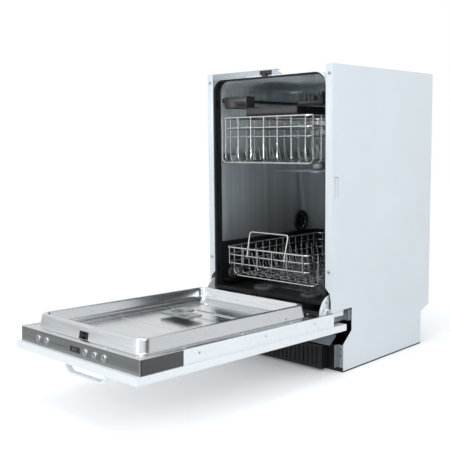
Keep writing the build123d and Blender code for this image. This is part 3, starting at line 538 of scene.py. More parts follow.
def tub():
    cad = near("tub_shell")
    half, top, back, low = cad.x1 - SHEET, cad.z1 - SHEET, cad.y1 - SHEET, cad.z0
    straight = arch(half, low, top, TUB_CORNER)
    rings = [flat(straight, "y", y) for y in steps_between(cad.y0, back - BACK_CORNER, 8)]
    for k in range(1, 9):
        t = math.radians(90 * k / 8)
        inset = BACK_CORNER * (1 - math.cos(t))
        turned = arch(half - inset, low, top - inset, max(4.0, TUB_CORNER - inset))
        rings.append(flat(turned, "y", back - BACK_CORNER * (1 - math.sin(t))))
    shape = Shape().skin(rings, closed=False, first=False)
    vent = near("vent_nut")
    hole = Shape().lathe((-half, vent.y, vent.z), (1, 0, 0), [(VENT_HOLE_R, -5), (VENT_HOLE_R, 5)])
    piece("tub_skin", shape, "cabinet", "stainless_mirror", ["tub_shell"], sheet=SHEET, sheet_side=0,
          carve=hole, angle=30)
    beads = Shape()
    foot = low + BEAD_FOOT
    for x0, x1 in BEAD_LOOPS:
        loop = [(x0, back, BEAD_TOP), (x0, back, foot), (x1, back, foot), (x1, back, BEAD_TOP)]
        beads.tube(bend(loop, 15), BEAD_R, 10)
    for x in BEAD_LINES:
        beads.tube([(x, back, BEAD_TOP + 6), (x, back, foot - 8)], BEAD_R, 10)
    # The beads take the darker fascia steel so that they read as dark lines: painted shade on beads pressed in the
    # tub's own stainless sheet
    piece("tub_beads", beads, "cabinet", "fascia_steel")


def tank():
    """Mouldings inside the black lower tub."""
    cad = near("tub_tank")
    floor = near("filter_plate").z0 - 0.2
    inner = cad.x1 - 2.5
    shape = Shape()
    for side in (-1, 1):
        shape.block(*span(side, inner - 23.5, inner - 21.5), LEDGE_FRONT, cad.y1 - 4, LEDGE_Z - 0.1,
                    LEDGE_Z + 1.6)
        for y in SIDE_RIBS:
            shape.block(*span(side, inner - 1.8, inner + 0.3), y, y + 4, LEDGE_Z, cad.z1 - 18)
        shape.block(*span(side, inner - 3.5, inner), LEDGE_FRONT, cad.y1 - 4, cad.z1 - 9, cad.z1 - 1)
    shape.block(-inner, inner, cad.y1 - 6, cad.y1 - 2, cad.z1 - 9, cad.z1 - 1)
    for x in BACK_RIBS:
        shape.block(x - 2, x + 2, cad.y1 - 4.5, cad.y1 - 2, floor + 8, cad.z1 - 14)
    shape.block(-inner, inner, cad.y0 + 0.2, cad.y0 + 5, floor, floor + 6)
    piece("tank_ribs", shape, "cabinet", "black_plastic", bevel=0.6)


def gasket():
    """The ribbed seal that lines the opening, with its retaining clips."""
    cad = near("gasket")
    profile = [(0, 1), (0, 29), (2.0, 29), (3.6, 27), (3.8, 25), (3.0, 22), (3.7, 19.5), (3.7, 18),
               (2.6, 15.5), (2.6, 12.5), (3.8, 9.5), (3.9, 5.5), (3.1, 2.0), (1.6, 1.0)]
    rings = []
    outer = arch(cad.x1, cad.z0, cad.z1, TUB_CORNER, 12)
    for i, (x, z) in enumerate(outer):
        a, b = outer[max(0, i - 1)], outer[min(len(outer) - 1, i + 1)]
        go = Vector((b[0] - a[0], b[1] - a[1])).normalized()
        inward = Vector((go.y, -go.x))
        rings.append([(x + inward.x * n, y + cad.y0 - 1, z + inward.y * n) for n, y in profile])
    piece("gasket_seal", Shape().skin(rings), "cabinet", "black_rubber", ["gasket"], angle=60)
    clips = Shape()
    for side in (-1, 1):
        for z in CLIP_HEIGHTS:
            clips.block(*span(side, cad.x1 - 2.2, cad.x1 - 3.9), 4, 20, z - 8, z + 8)
            clips.block(*span(side, cad.x1 - 2.2, cad.x1 - 3.9), 8, 14, z - 11, z + 11)
    for x in CLIP_PLACES:
        clips.block(x - 8, x + 8, 4, 20, cad.z1 - 3.9, cad.z1 - 2.2)
    piece("gasket_clips", clips, "cabinet", "black_plastic", bevel=0.5)


def strike():
    cad = near("lock_strike")
    shape = Shape()
    shape.block(cad.x0, cad.x1, cad.y0 + 6, cad.y1, cad.z0 + 5.2, cad.z1)
    shape.block(cad.x0 + 2, cad.x1 - 2, cad.y0 + 5, cad.y0 + 7, cad.z0 + 7, cad.z1 - 1)
    shape.block(-8, 8, cad.y0, cad.y0 + 8, cad.z0, cad.z0 + 6.5)
    for x in (-15, 15):
        shape.block(x - 3, x + 3, cad.y0 + 3.5, cad.y0 + 6, cad.z0 + 7.5, cad.z1 - 3)
    shape.block(-5, 5, cad.y0 + 3.5, cad.y0 + 6, cad.z0 + 9, cad.z1 - 2)
    piece("strike_housing", shape, "cabinet", "black_plastic", ["lock_strike"], bevel=0.5)
    hook = Shape().tube(bend([(-6, cad.y0 + 2, cad.z0 + 4), (-6, cad.y0 + 0.8, cad.z0 + 1.2),
                              (6, cad.y0 + 0.8, cad.z0 + 1.2), (6, cad.y0 + 2, cad.z0 + 4)], 2), 0.7)
    piece("strike_wire", hook, "cabinet", "galvanised")


def vent():
    """The air-breaker's ring nut, with eight spokes round an open middle."""
    cad = near("vent_nut")
    y, z = cad.y, cad.z
    wall = cad.x1 - 7
    shape = Shape()
    outer = [(36, 0), (36, 3.6), (34.6, 5.8), (32, 7), (29, 6.4), (27.6, 4.4), (26, 0)]
    shape.lathe((wall, y, z), (1, 0, 0), outer, 48)
    shape.lathe((wall, y, z), (1, 0, 0), [(26.5, -9.5), (26.5, 3.4), (24.2, 3.4), (23.6, -9.5)], 48)
    shape.lathe((wall, y, z), (1, 0, 0), [(8.5, 0), (8.5, 4.4), (6.5, 5.8), (2.5, 6.4), (0.5, 6.4)], 24)
    for c, s in around(8, 12):
        path = [(wall + 2.4, y + r * c, z + r * s) for r in (6, 27)]
        shape.skin(swept(path, rounded(-1.5, 1.5, -1.9, 1.9, 0.7, 2), up=(1, 0, 0)))
    for c, s in around(16):
        path = [(wall + 1, y + r * c, z + r * s) for r in (33.8, 35.9)]
        shape.skin(swept(path, rounded(-2.2, 2.2, -1.2, 3.0, 0.6, 2), up=(1, 0, 0)))
    piece("vent_ring", shape, "cabinet", "black_plastic", ["vent_nut"], angle=45)
    grille = Shape().lathe((wall - 9, y, z), (1, 0, 0), [(21.8, 0), (21.8, 1.2), (0.5, 1.2)], 32)
    piece("vent_back", grille, "cabinet", "dark_grey_plastic")


def duct():
    """The moulded water channel up the back wall."""
    cad = near("water_duct")
    back = near("tub_shell").y1 - SHEET
    front = back - 17
    levels = (0, 17, back), (0, 17, front + 4), (1.4, 16, front + 1.2), (4.4, 14, front)
    shape = Shape().skin(stacked(cad.x0, cad.x1, cad.z0, cad.z1, levels, 8, "y"))
    for x in (cad.x - 15, cad.x, cad.x + 15):
        shape.tube([(x, front, cad.z0 + 26), (x, front, cad.z1 - 46)], 1.6, 8)
    for z in (cad.z0 + 18, cad.z1 - 34):
        shape.tube([(cad.x0 + 12, front, z), (cad.x1 - 12, front, z)], 1.4, 8)
    piece("duct_moulding", shape, "cabinet", "dark_grey_plastic", ["water_duct"], angle=50)
    ring = [(21, -1), (21, 1.6), (19, 2.6), (16.4, 2.8), (15.6, 5.6), (14.4, 6), (12.4, 6), (11.6, 1.2),
            (0.5, 1.0)]
    dock = Shape().lathe((cad.x, front, DOCK_Z), (0, -1, 0), ring, 40)
    piece("duct_dock", dock, "cabinet", "black_plastic")


SLOT_STEP = 12
SLOT_HALF = 150
SLOT_FRONT, SLOT_REAR = 130, 436
ARM_FOOT_R = 40               # kept free of slots round the lower arm


def filter_bed():
    """The perforated filter plate with a pressed rim, and rows of slots drawn as thin dark marks on it: painted
    shade in place of the openings.
    """
    cad = near("filter_plate")
    z = cad.z0 + 0.1
    arm = near("lower_spray_arm")
    levels = (0, 8, z), (3, 8, z + 1.1), (9, 8, z + 1.1), (12, 8, z + 0.5)
    plate = Shape().skin(stacked(cad.x0, cad.x1, cad.y0, cad.y1, levels))
    hole = Shape().lathe((arm.x, arm.y, z), (0, 0, 1), [(14, -4), (14, 6)], 24)
    piece("filter_sheet", plate, "cabinet", "stainless_satin", ["filter_plate"], carve=hole, angle=30)
    # The slots are thin dark marks laid on the sheet, not holes: painted shade where the openings are
    slots = Shape()
    for x in range(-SLOT_HALF, SLOT_HALF + 1, SLOT_STEP):
        for y in range(SLOT_FRONT, SLOT_REAR, SLOT_STEP):
            if (x - arm.x) ** 2 + (y - arm.y) ** 2 > ARM_FOOT_R ** 2:
                slots.prism(rounded(x - 3.6, x + 3.6, y - 0.9, y + 0.9, 0.8, 2), "z", z + 0.45, z + 0.62)
    piece("filter_slots", slots, "cabinet", "dark_grey_plastic")


def knob(name, node, wings):
    """A turned cap with finger grips."""
    cad = near(node)
    cx, cy = cad.x, cad.y
    r = (cad.x1 - cad.x0) / 2
    low = near("filter_plate").z0
    top = cad.z1
    outline = [(r * 0.64, cad.z0), (r * 0.66, low), (r, low + 0.5), (r, top - 3), (r - 1.2, top - 1.2),
               (r - 3, top - 0.8), (r - 5, top - 2.6), (r * 0.3, top - 3.4)]
    shape = Shape().lathe((cx, cy, 0), (0, 0, 1), outline, 48)
    for c, s in around(wings):
        path = [(cx + d * c, cy + d * s, top - 2.6) for d in (r * 0.16, r * 0.86)]
        shape.skin(swept(path, rounded(-1.6, 1.6, -2.0, 2.6, 1.0, 3), up=(0, 0, 1)))
    for c, s in around(24):
        x, y = cx + (r - 0.2) * c, cy + (r - 0.2) * s
        shape.tube([(x, y, low + 1), (x, y, top - 3.4)], 0.9, 6)
    piece(name, shape, node, "dark_grey_plastic", [node], angle=45)


def blade_ring(x, cy, wide, low, high, steps=10):
    """One cross-section of a spray arm's blade."""
    mid, deep = (low + high) / 2, (high - low) / 2
    ring = []
    for k in range(2 * steps):
        t = math.pi * k / steps
        c, s = math.cos(t), math.sin(t)
        y = cy + wide * math.copysign(abs(c) ** 0.75, c)
        ring.append((x, y, mid + deep * math.copysign(abs(s) ** 0.8, s)))
    return ring


def spray_arm(name, node):
    cad = near(node)
    cx, cy = cad.x, cad.y
    reach = (cad.x1 - cad.x0) / 2
    low, high = cad.z0, cad.z1
    rings = []
    for share, wide, thin in ((-1.0, 0.12, 0.8), (-0.985, 0.55, 0.5), (-0.94, 0.82, 0.2), (-0.8, 0.95, 0.06),
                              (-0.45, 1.0, 0.0), (-0.16, 0.9, 0.0), (0.16, 0.9, 0.0), (0.45, 1.0, 0.0),
                              (0.8, 0.95, 0.06), (0.94, 0.82, 0.2), (0.985, 0.55, 0.5), (1.0, 0.12, 0.8)):
        slack = (high - low) * thin * 0.5
        x, y = cx + share * reach, cy + 2.5 * share
        rings.append(blade_ring(x, y, 16.6 * wide, low + slack, high - slack))
    shape = Shape().skin(rings)
    hub = [(25.5, low), (26, low + 1), (26, high - 2.5), (24, high - 0.4), (17, high), (12, high - 1.4),
           (7, high - 1.4), (6.4, high - 2.5), (6.4, low)]
    shape.lathe((cx, cy, 0), (0, 0, 1), hub, 40)
    piece(name, shape, node, "grey_plastic", [node], angle=50)
    jets = Shape()
    for side in (-1, 1):
        for k in range(6):
            x, y = cx + side * (38 + 21 * k), cy + side * (5 - 2.4 * (k % 3))
            jets.lathe((x, y, high - 0.5), (0, 0, 1), [(3.4, 0), (3.4, 0.5), (2.3, 0.8), (1.2, 0.3)], 14)
    piece(name + "_jets", jets, node, "dark_grey_plastic")


def channel(side, open_x, back_x, z0, z1, sheet, fold, lip):
    """A C-section of a sheet, with folded lips at its open side, as (x, z)."""
    inner, skin = open_x + fold, back_x - sheet
    points = [(back_x, z0), (back_x, z1), (open_x, z1), (open_x, z1 - lip), (inner, z1 - lip),
              (inner, z1 - sheet), (skin, z1 - sheet), (skin, z0 + sheet), (inner, z0 + sheet),
              (inner, z0 + lip), (open_x, z0 + lip), (open_x, z0)]
    return [(side * x, z) for x, z in points]


def rails():
    """Roller channels for the tray and the upper basket, with their end stops."""
    wall = near("gasket").x1
    cad = near("rack_rails")
    slides = near("upper_slides")
    outer, rollers, stops, inner = Shape(), Shape(), Shape(), Shape()
    for side in (-1, 1):
        for z, tall, deep in ((slides.z, 13.0, 8.0), (cad.z1 - 6.5, 6.5, 13.5)):
            outline = channel(side, wall - deep, wall, z - tall, z + tall, 1.1, 1.0, 3.4)
            outer.prism(outline, "y", cad.y0, cad.y1)
            wheel = [(tall * 0.55, 0), (tall * 0.62, 0.8), (tall * 0.62, 3.6), (tall * 0.5, 4.4), (1.5, 4.4)]
            for y in (cad.y0 + 14, cad.y0 + 40, cad.y1 - 40):
                rollers.lathe((side * (wall - 1.2), y, z), (-side, 0, 0), wheel, 20)
            stops.block(*span(side, wall - 1.1, wall - deep + 0.6), cad.y0 - 0.5, cad.y0 + 5,
                        z - tall + 1.2, z - tall + 3.8)
        outline = channel(side, slides.x1 - 6.4, slides.x1, slides.z0, slides.z1, 1.2, 1.2, 4)
        inner.prism(outline, "y", slides.y0, slides.y1)
    piece("rack_channels", outer, "cabinet", "galvanised", ["rack_rails"], angle=30)
    piece("rack_rollers", rollers, "cabinet", "grey_plastic")
    piece("rack_stops", stops, "cabinet", "black_plastic", bevel=0.5)
    piece("slide_channels", inner, "upper_slides", "galvanised", ["upper_slides"], angle=30)


# ---------------------------------------------------------------- baskets
WIRE_R = 1.6
FLOOR_RING_R = 2.2
WIRE_END = 2.3                # from the end of a basket's box to its ring wires
LOWER_HALF = 152.0
LOWER_RINGS = (315.0, 294.0, 269.5)
LOWER_RING_R = (2.5, 1.9, 1.9)
LOWER_FLOOR = 227.0
LOWER_TOE = 30.0              # where the floor starts, behind the sloping front
LOWER_TINES = (-91.2, -30.4, 30.4, 91.2)
LOWER_TINE_TOP = 298.0
LOWER_LEAN = -20
HANDLE_HALF = 68
HANDLE_OUT = 17
UPPER_HALF = 162.0
UPPER_RINGS = (687.0, 658.0, 633.0)
UPPER_RING_R = (2.9, 2.9, 1.8)
UPPER_FLOOR = 560.0
UPPER_TINES = (-97.2, 97.2)
UPPER_TINE_TOP = 604.0
UPPER_LEAN = -9
BRACKET_PLACES = (68.0, 254.0, 403.0)
FEED_X = 6.5
TRAY_HALF = 176.0
TRAY_STEP = 91.0              # half the width of the deep middle
TRAY_SIDE_Z = 716.0
TRAY_WALL = 1.8


def hoop(shape, half, y0, y1, z, r, corner=22):
    """A wire ring at one height."""
    path = bend([(-half, y0, z), (half, y0, z), (half, y1, z), (-half, y1, z)], corner, True, 6)
    shape.tube(path, r, 10, True)


def ring_wires(shape, half, y0, y1, rings, radii):
    """The rings round a basket, with the top one a little wider."""
    for inset, z, r in zip((0, 1, 1), rings, radii):
        hoop(shape, half - inset, y0 + inset, y1 - inset, z, r)


def basket_wires(half, y0, y1, rings, floor, toe_y, rows, cols, rise):
    """Cross wires and lengthwise wires, bent up at their ends to the top ring."""
    shape = Shape()
    top = rings[0]
    out = half + 2.4
    for y in steps_between(toe_y + 4, y1 - 20, rows):
        path = [(-out, y, top), (-out, y, floor + 8), (-half + 12, y, floor), (half - 12, y, floor),
                (out, y, floor + 8), (out, y, top)]
        shape.tube(bend(path, 12), WIRE_R, 8)
    for k, x in enumerate(steps_between(-half + 18, half - 18, cols)):
        if k % 2:
            path = [(x, toe_y + 3, floor + 2.8)]
        elif toe_y > y0 + 5:
            path = [(x, y0 - 2.4, top), (x, y0 - 2.4, rings[-1] - 2), (x, toe_y - 4, floor + rise),
                    (x, toe_y + 3, floor + 2.8)]
        else:
            path = [(x, y0 - 2.4, top), (x, y0 - 2.4, rings[-1] - 2), (x, y0 - 2.4, floor + 10),
                    (x, y0 + 10, floor + 2.8)]
        path += [(x, y1 - 12, floor + 2.8), (x, y1 + 2.4, floor + 12), (x, y1 + 2.4, top)]
        shape.tube(bend(path, 10), WIRE_R, 8)
    return shape


def tine_row(shape, x, y0, y1, count, floor, high, lean):
    """Upright wires on a floor wire, each leaning a little to the front, with a rounded tip."""
    shape.tube([(x, y0 - 8, floor + 5.2), (x, y1 + 8, floor + 5.2)], 2.0, 8)
    tip = [(WIRE_R, 0), (1.5, 0.7), (1.1, 1.3), (0.5, 1.6)]
    for y in steps_between(y0, y1, count):
        path = bend([(x, y - 3, floor + 5), (x, y, floor + 8), (x, y + lean, high - 2)], 6)
        shape.tube(path, WIRE_R, 8)
        shape.lathe((x, y + lean, high - 2), (0, 0.1, 1), tip, 8)


def lower_basket():
    cad = near("lower_basket")
    half, rings, floor = LOWER_HALF, LOWER_RINGS, LOWER_FLOOR
    y0, y1 = cad.y0 + WIRE_END, cad.y1 - WIRE_END
    shape = basket_wires(half, y0, y1, rings, floor, LOWER_TOE, 13, 11, 20.0)
    ring_wires(shape, half, y0, y1, rings, LOWER_RING_R)
    hoop(shape, half - 6, LOWER_TOE - 4, y1 - 5, floor + 1.4, FLOOR_RING_R, 16)
    for x in LOWER_TINES:
        tine_row(shape, x, 60, 420, 15, floor, LOWER_TINE_TOP, LOWER_LEAN)
    low, high = rings[1] - 2, cad.z1 - 3
    out = HANDLE_HALF + 2
    bow = [(-HANDLE_HALF, y0, low), (-out, y0 + HANDLE_OUT, high), (out, y0 + HANDLE_OUT, high),
           (HANDLE_HALF, y0, low)]
    shape.tube(bend(bow, 9, steps=6), 2.4, 10)
    piece("lower_basket_wires", shape, "lower_basket", "coated_wire", ["lower_basket"], angle=60)
    blocks = Shape()
    for wheel in (near("wheels_front"), near("wheels_rear")):
        y, z = wheel.y, wheel.z
        for side in (-1, 1):
            outline = rounded(y - 11, y + 11, z - 9, z + 20, 6, 4)
            blocks.prism(outline, "x", *span(side, half - 1, half + 25))
            blocks.tube([(side * (half + 20), y, z), (side * (wheel.x1 - 0.2), y, z)], 3, 16)
    piece("wheel_carriers", blocks, "lower_basket", "dark_grey_plastic", bevel=0.8)


def wheels(end):
    node = "wheels_" + end
    cad = near(node)
    y, z = cad.y, cad.z
    r = (cad.z1 - cad.z0) / 2
    tyre = [(r * 0.72, 0.6), (r * 0.97, 0.2), (r, 1.6), (r, 8.4), (r * 0.97, 9.8), (r * 0.72, 9.4),
            (r * 0.72, 0.6)]
    hub = [(3.3, 1), (6.5, 1), (6.5, 9), (3.3, 9), (3.3, 1)]
    shape = Shape()
    for side in (-1, 1):
        x = side * (cad.x1 - 10)
        shape.lathe((x, y, z), (side, 0, 0), tyre, 40)
        shape.lathe((x, y, z), (side, 0, 0), hub, 24)
        for c, s in around(5):
            path = [(x + side * 5, y + d * c, z + d * s) for d in (5.5, r * 0.76)]
            shape.skin(swept(path, rounded(-2.2, 2.2, -2.4, 2.4, 0.8, 2), up=(1, 0, 0)))
    piece("rack_" + node, shape, node, "dark_grey_plastic", [node], angle=45)


def upper_basket():
    cad = near("upper_basket")
    half, rings, floor = UPPER_HALF, UPPER_RINGS, UPPER_FLOOR
    y0, y1 = cad.y0 + WIRE_END, cad.y1 - WIRE_END
    shape = basket_wires(half, y0, y1, rings, floor, y0, 13, 13, 0)
    ring_wires(shape, half, y0, y1, rings, UPPER_RING_R)
    hoop(shape, half - 8, y0 + 9, y1 - 8, floor + 1.4, FLOOR_RING_R, 16)
    for x in UPPER_TINES:
        tine_row(shape, x, 30, 420, 14, floor, UPPER_TINE_TOP, UPPER_LEAN)
    for x in steps_between(-120, 120, 3):
        wave = [(x + (5 if k % 2 else -5), y, floor + 4.5)
                for k, y in enumerate(steps_between(y0 + 14, y1 - 14, 25))]
        shape.tube(bend(wave, 6, steps=3), 1.5, 6)
    piece("upper_basket_wires", shape, "upper_basket", "coated_wire", ["upper_basket"], angle=60)
    brackets = Shape()
    slides = near("upper_slides")
    z = slides.z
    for side in (-1, 1):
        for y in BRACKET_PLACES:
            plate = rounded(y - 15, y + 15, z - 8, z + 8, 4, 4)
            hook = rounded(y - 9, y + 9, z - 4, z + 26, 3, 4)
            brackets.prism(plate, "x", *span(side, half - 1, slides.x1 - 7.2))
            brackets.prism(hook, "x", *span(side, half + 1, half + 6))
    piece("basket_brackets", brackets, "upper_basket", "grey_plastic", bevel=0.8)


def upper_feed():
    cad = near("upper_feed")
    arm = near("upper_spray_arm")
    cx, cy = arm.x, arm.y
    path = bend([(cx, cy, DOCK_Z), (FEED_X, cy + 34, DOCK_Z), (FEED_X, cad.y1, DOCK_Z)], 30, steps=8)
    shape = Shape().skin(swept(path, rounded(-9, 9, -9, 9, 8.6, 5), up=(0, 0, 1)))
    cone = [(11.4, 0), (13, 1.5), (13, 7), (11, 9), (9, 9)]
    shape.lathe((FEED_X, cad.y1, DOCK_Z), (0, -1, 0), cone, 32)
    post = [(6, cad.z0), (6, DOCK_Z - 9), (14, DOCK_Z - 9), (16, DOCK_Z - 7), (16, cad.z1)]
    shape.lathe((cx, cy, 0), (0, 0, 1), post, 32)
    for y in (cy + 70, cy + 150):
        shape.lathe((FEED_X, y, DOCK_Z), (0, 1, 0), [(9, -3), (10.4, -2), (10.4, 2), (9, 3)], 24)
    piece("feed_pipe", shape, "upper_basket", "grey_plastic", ["upper_feed"], angle=50)


def cutlery_tray():
    cad = near("cutlery_tray")
    half, step_x, side_z, t = TRAY_HALF, TRAY_STEP, TRAY_SIDE_Z, TRAY_WALL
    y0, y1, top = cad.y0, cad.y1, cad.z1
    shape = Shape()
    # slatted floors, one for each section
    for x0, x1, z in ((-step_x, step_x, cad.z0), (-half, -step_x, side_z), (step_x, half, side_z)):
        for x in steps_between(x0 + 1.5, x1 - 1.5, max(3, round((x1 - x0) / 14))):
            shape.block(x - 1.4, x + 1.4, y0, y1, z, z + 3)
        for y in steps_between(y0 + 1.5, y1 - 1.5, 34):
            shape.block(x0, x1, y - 1.5, y + 1.5, z + 0.2, z + 2.6)
    # the outer walls are high on the right and at the front left corner, and low elsewhere
    shape.block(half - t, half, y0, y1, side_z, top)
    shape.block(-half, -half + t, y0, y1, side_z, side_z + 9)
    shape.block(-half, -half + t, y0, y0 + 36, side_z, top)
    shape.block(-step_x - t, -step_x, y0, y0 + 36, side_z, top)
    for x in (-step_x, step_x):
        shape.block(x - t / 2, x + t / 2, y0, y1, cad.z0, side_z - 2)
    for ya, yb in ((y0, y0 + t), (y1 - t, y1)):
        shape.block(-half, -step_x, ya, yb, side_z, top if ya == y0 else side_z + 9)
        shape.block(step_x, half, ya, yb, side_z, side_z + 9)
        shape.block(step_x, step_x + 6, ya, yb, side_z, top - 3)
        shape.block(-step_x, step_x, ya, yb, cad.z0, side_z - 5)
    for side in (-1, 1):
        shape.block(*span(side, half, near("gasket").x1 - 7), 60, 430, top - 9.6, top - 5.6)
    # comb fins that hold the handles, on the right and in the middle
    for y in steps_between(y0 + 12, y1 - 34, 15):
        for x in (step_x + 12, step_x + 38, half - 14):
            fin = [(x - 10, side_z + 2), (x - 9, top - 5), (x - 5, top - 2), (x, side_z + 12),
                   (x + 5, top - 2), (x + 9, top - 5), (x + 10, side_z + 2)]
            shape.prism(fin, "y", y - 1.3, y + 1.3)
    for y in steps_between(y0 + 30, y1 - 30, 18):
        for x in (-46, 46):
            fin = [(x - 11, cad.z0 + 2), (x - 9, cad.z0 + 24), (x - 4, cad.z0 + 27), (x, cad.z0 + 10),
                   (x + 4, cad.z0 + 27), (x + 9, cad.z0 + 24), (x + 11, cad.z0 + 2)]
            shape.prism(fin, "y", y - 0.9, y + 0.9)
    piece("tray_moulding", shape, "cutlery_tray", "black_plastic", ["cutlery_tray"], bevel=0.35)
    grip = Shape().tube([(-step_x + 2, y0 + 2.2, side_z - 3), (step_x - 2, y0 + 2.2, side_z - 3)], 2.2, 10)
    piece("tray_grip", grip, "cutlery_tray", "black_plastic")


# ---------------------------------------------------------------- door
FLANGE_EDGE = 221.7
RIM_FRONT, RIM_REAR = -624.0, -60.0
RIM_BASE, RIM_CROWN = 196.0, 191.5
PAN_INSET = 10.5              # from the rim's crown to the pan's upper edge
END_SCREWS = (-200, -95, 95, 200)
SIDE_SCREW_X = 211
SIDE_SCREWS = (-515, -330, -150)
RIM_SCREWS = (-152, -66)
CASING_SCREWS = (-480, -260, -70)
FLANGE_SCREW_X = 214
FLANGE_SCREWS = (279.5, 791.5)
RIVETS = ((-18, 178), (-6, 198), (-20, 150))
SPRING_X, SPRING_Z = 213.0, 34.0
SPRING_START, SPRING_LONG = 150, 148
SPRING_TURNS, TURN_STEPS = 30, 12


def door_ring(ring):
    return flat(rounded(-ring.half, ring.half, ring.y0, ring.y1, ring.r, 9), "z", ring.z)


def door_liner():
    """The pressed inner door: a flat flange, a raised rounded rim and a shallow pan."""
    cad = near("door_liner", True)
    z = cad.z0 + 0.8
    top = cad.z1
    y_front, y_back = cad.y0, cad.y1
    rim_front, rim_rear, base, crown, edge = RIM_FRONT, RIM_REAR, RIM_BASE, RIM_CROWN, FLANGE_EDGE
    rings = [
        Ring(edge, y_front, y_back, 3, z - 4.5),
        Ring(edge, y_front, y_back, 3, z - 0.7),
        Ring(edge - 0.7, y_front + 0.7, y_back - 0.7, 3, z),
        Ring(base + 3.2, rim_front - 3.2, rim_rear + 3.2, 31, z),
        Ring(base + 1.0, rim_front - 1.0, rim_rear + 1.0, 29, z + 0.8),
        Ring(base, rim_front, rim_rear, 28, z + 3.0),
        Ring(crown + 0.4, rim_front + 4.1, rim_rear - 4.1, 28, top - 3.6),
        Ring(crown - 0.5, rim_front + 5.0, rim_rear - 5.0, 27.4, top - 1.2),
        Ring(crown - 2.4, rim_front + 6.9, rim_rear - 6.9, 26.4, top),
    ]
    pan = crown - PAN_INSET
    pan_front, pan_rear = rim_front + 15.0, rim_rear - 15.0
    slope = ((1.6, 21, top), (0.2, 20, top - 1.4), (-0.7, 19, top - 4), (-3.6, 17, z + 11),
             (-5.2, 16, z + 6.2), (-8.0, 14.5, z + 3.1), (-12.5, 12, z + 1.5), (-20, 10, z + 0.9))
    for out, r, height in slope:
        rings.append(Ring(pan + out, pan_front - out, pan_rear + out, r, height))
    shape = Shape().skin([door_ring(r) for r in rings], first=False)
    carve = Shape()
    bracket, arm = near("hinge_brackets"), near("hinge_arms", True)
    for side in (-1, 1):
        carve.block(*span(side, bracket.x1 - 20.4, arm.x1 + 3), -42, y_back + 5, z - 10, z + 6)
    latch = near("door_latch", True)
    carve.block(latch.x0 - 0.3, latch.x1 + 0.3, rim_front - 6, rim_front + 9, latch.z0 - 0.4, latch.z1 + 0.3)
    piece("door_inner", shape, "door", "stainless_satin", ["door_liner"], on_door=True, sheet=SHEET,
          sheet_side=0, carve=carve, angle=50, normals=False)
    beads = Shape()
    floor = z + 0.9
    for half, y0, y1 in ((118, -228, -128), (104, -216, -140)):
        beads.tube(flat(rounded(-half, half, y0, y1, 16, 6), "z", floor - 0.6), 2.2, 10, True)
    for x in (-140, 140):
        beads.tube([(x, -560, floor - 0.7), (x, -130, floor - 0.7)], 2.2, 10)
    beads.tube([(-120, -420, floor - 0.7), (120, -420, floor - 0.7)], 2.2, 10)
    piece("pan_beads", beads, "door", "stainless_satin", on_door=True)


def fascia_marks():
    """Plain raised marks for the programmes, with no lettering."""
    cad = near("control_fascia", True)
    front = cad.y0
    display = near("display_window", True)
    z = display.z
    marks = Shape()
    for k, x in enumerate(steps_between(display.x0 - 68, display.x0 - 12, 6)):
        if k % 2:
            marks.lathe((x, front, z), (0, -1, 0), [(2.2, -0.2), (2.2, 0.12), (1.5, 0.12), (1.5, -0.2)], 16)
        else:
            marks.block(x - 2, x + 2, front - 0.12, front + 0.2, z - 0.5, z + 0.5)
            marks.block(x - 0.5, x + 0.5, front - 0.12, front + 0.2, z - 2, z + 2)
    piece("fascia_marks", marks, "door", "display_glass", on_door=True)
    rings = Shape()
    for number in range(1, 6):
        cap = near("button_%d" % number, True)
        x, zc, r = cap.x, cap.z, (cap.x1 - cap.x0) / 2
        outline = [(r + 0.35, -1), (r + 0.35, 0.35), (r + 1.3, 0.45), (r + 2.0, -0.1), (r + 2.0, -1)]
        rings.lathe((x, front, zc), (0, -1, 0), outline, 40)
    piece("button_rings", rings, "door", "fascia_steel", on_door=True)


def buttons():
    for number in range(1, 6):
        node = "button_%d" % number
        cap = near(node, True)
        x, z, r = cap.x, cap.z, (cap.x1 - cap.x0) / 2
        dome = [(0.3, 0.5), (r * 0.4, 0.42), (r * 0.62, 0.2), (r * 0.8, 0.0), (r * 0.93, 0.5), (r, 1.7),
                (r, cap.y1 - cap.y0)]
        shape = Shape().lathe((x, cap.y0, z), (0, 1, 0), dome, 40)
        piece("push_" + str(number), shape, node, "button_chrome", [node], on_door=True, angle=50)


def display():
    cad = near("display_window", True)
    shape = Shape().prism(rounded(cad.x0, cad.x1, cad.z0, cad.z1, 1.2, 4), "y", cad.y0, cad.y1)
    piece("display_pane", shape, "door", "display_glass", ["display_window"], on_door=True, bevel=0.25)
    digits = Shape()
    y0, y1 = cad.y0 - 0.03, cad.y0 + 0.1
    mid = cad.z
    for left in (cad.x0 + 9.5, cad.x0 + 17.5):
        for dz in (-3.6, 0, 3.6):
            digits.block(left + 0.6, left + 4.4, y0, y1, mid + dz - 0.35, mid + dz + 0.35)
        for dx in (0, 4.6):
            digits.block(left + dx, left + dx + 0.6, y0, y1, mid - 3.2, mid + 3.2)
    piece("display_digits", digits, "door", "grey_plastic", on_door=True)


def handle():
    """A bow handle: a flat strip that curves out from the front panel."""
    cad = near("handle", True)
    face, low = cad.z1, cad.z0
    y = cad.y
    path = bend([(cad.x0 + 3, y, face), (cad.x0 + 23, y, low + 3), (cad.x1 - 23, y, low + 3),
                 (cad.x1 - 3, y, face)], 26, steps=10)
    section = rounded(-8, 8, -2.9, 2.9, 2.4, 5)
    shape = Shape().skin(swept(path, section, up=(0, 0, 1)))
    for x in (cad.x0 + 5.5, cad.x1 - 5.5):
        shape.lathe((x, y, face), (0, 0, -1), [(5.4, 0), (5.4, 1.6), (4.6, 2.4), (3, 2.4)], 24)
    piece("bow_handle", shape, "door", "handle_white", ["handle"], on_door=True, angle=50)


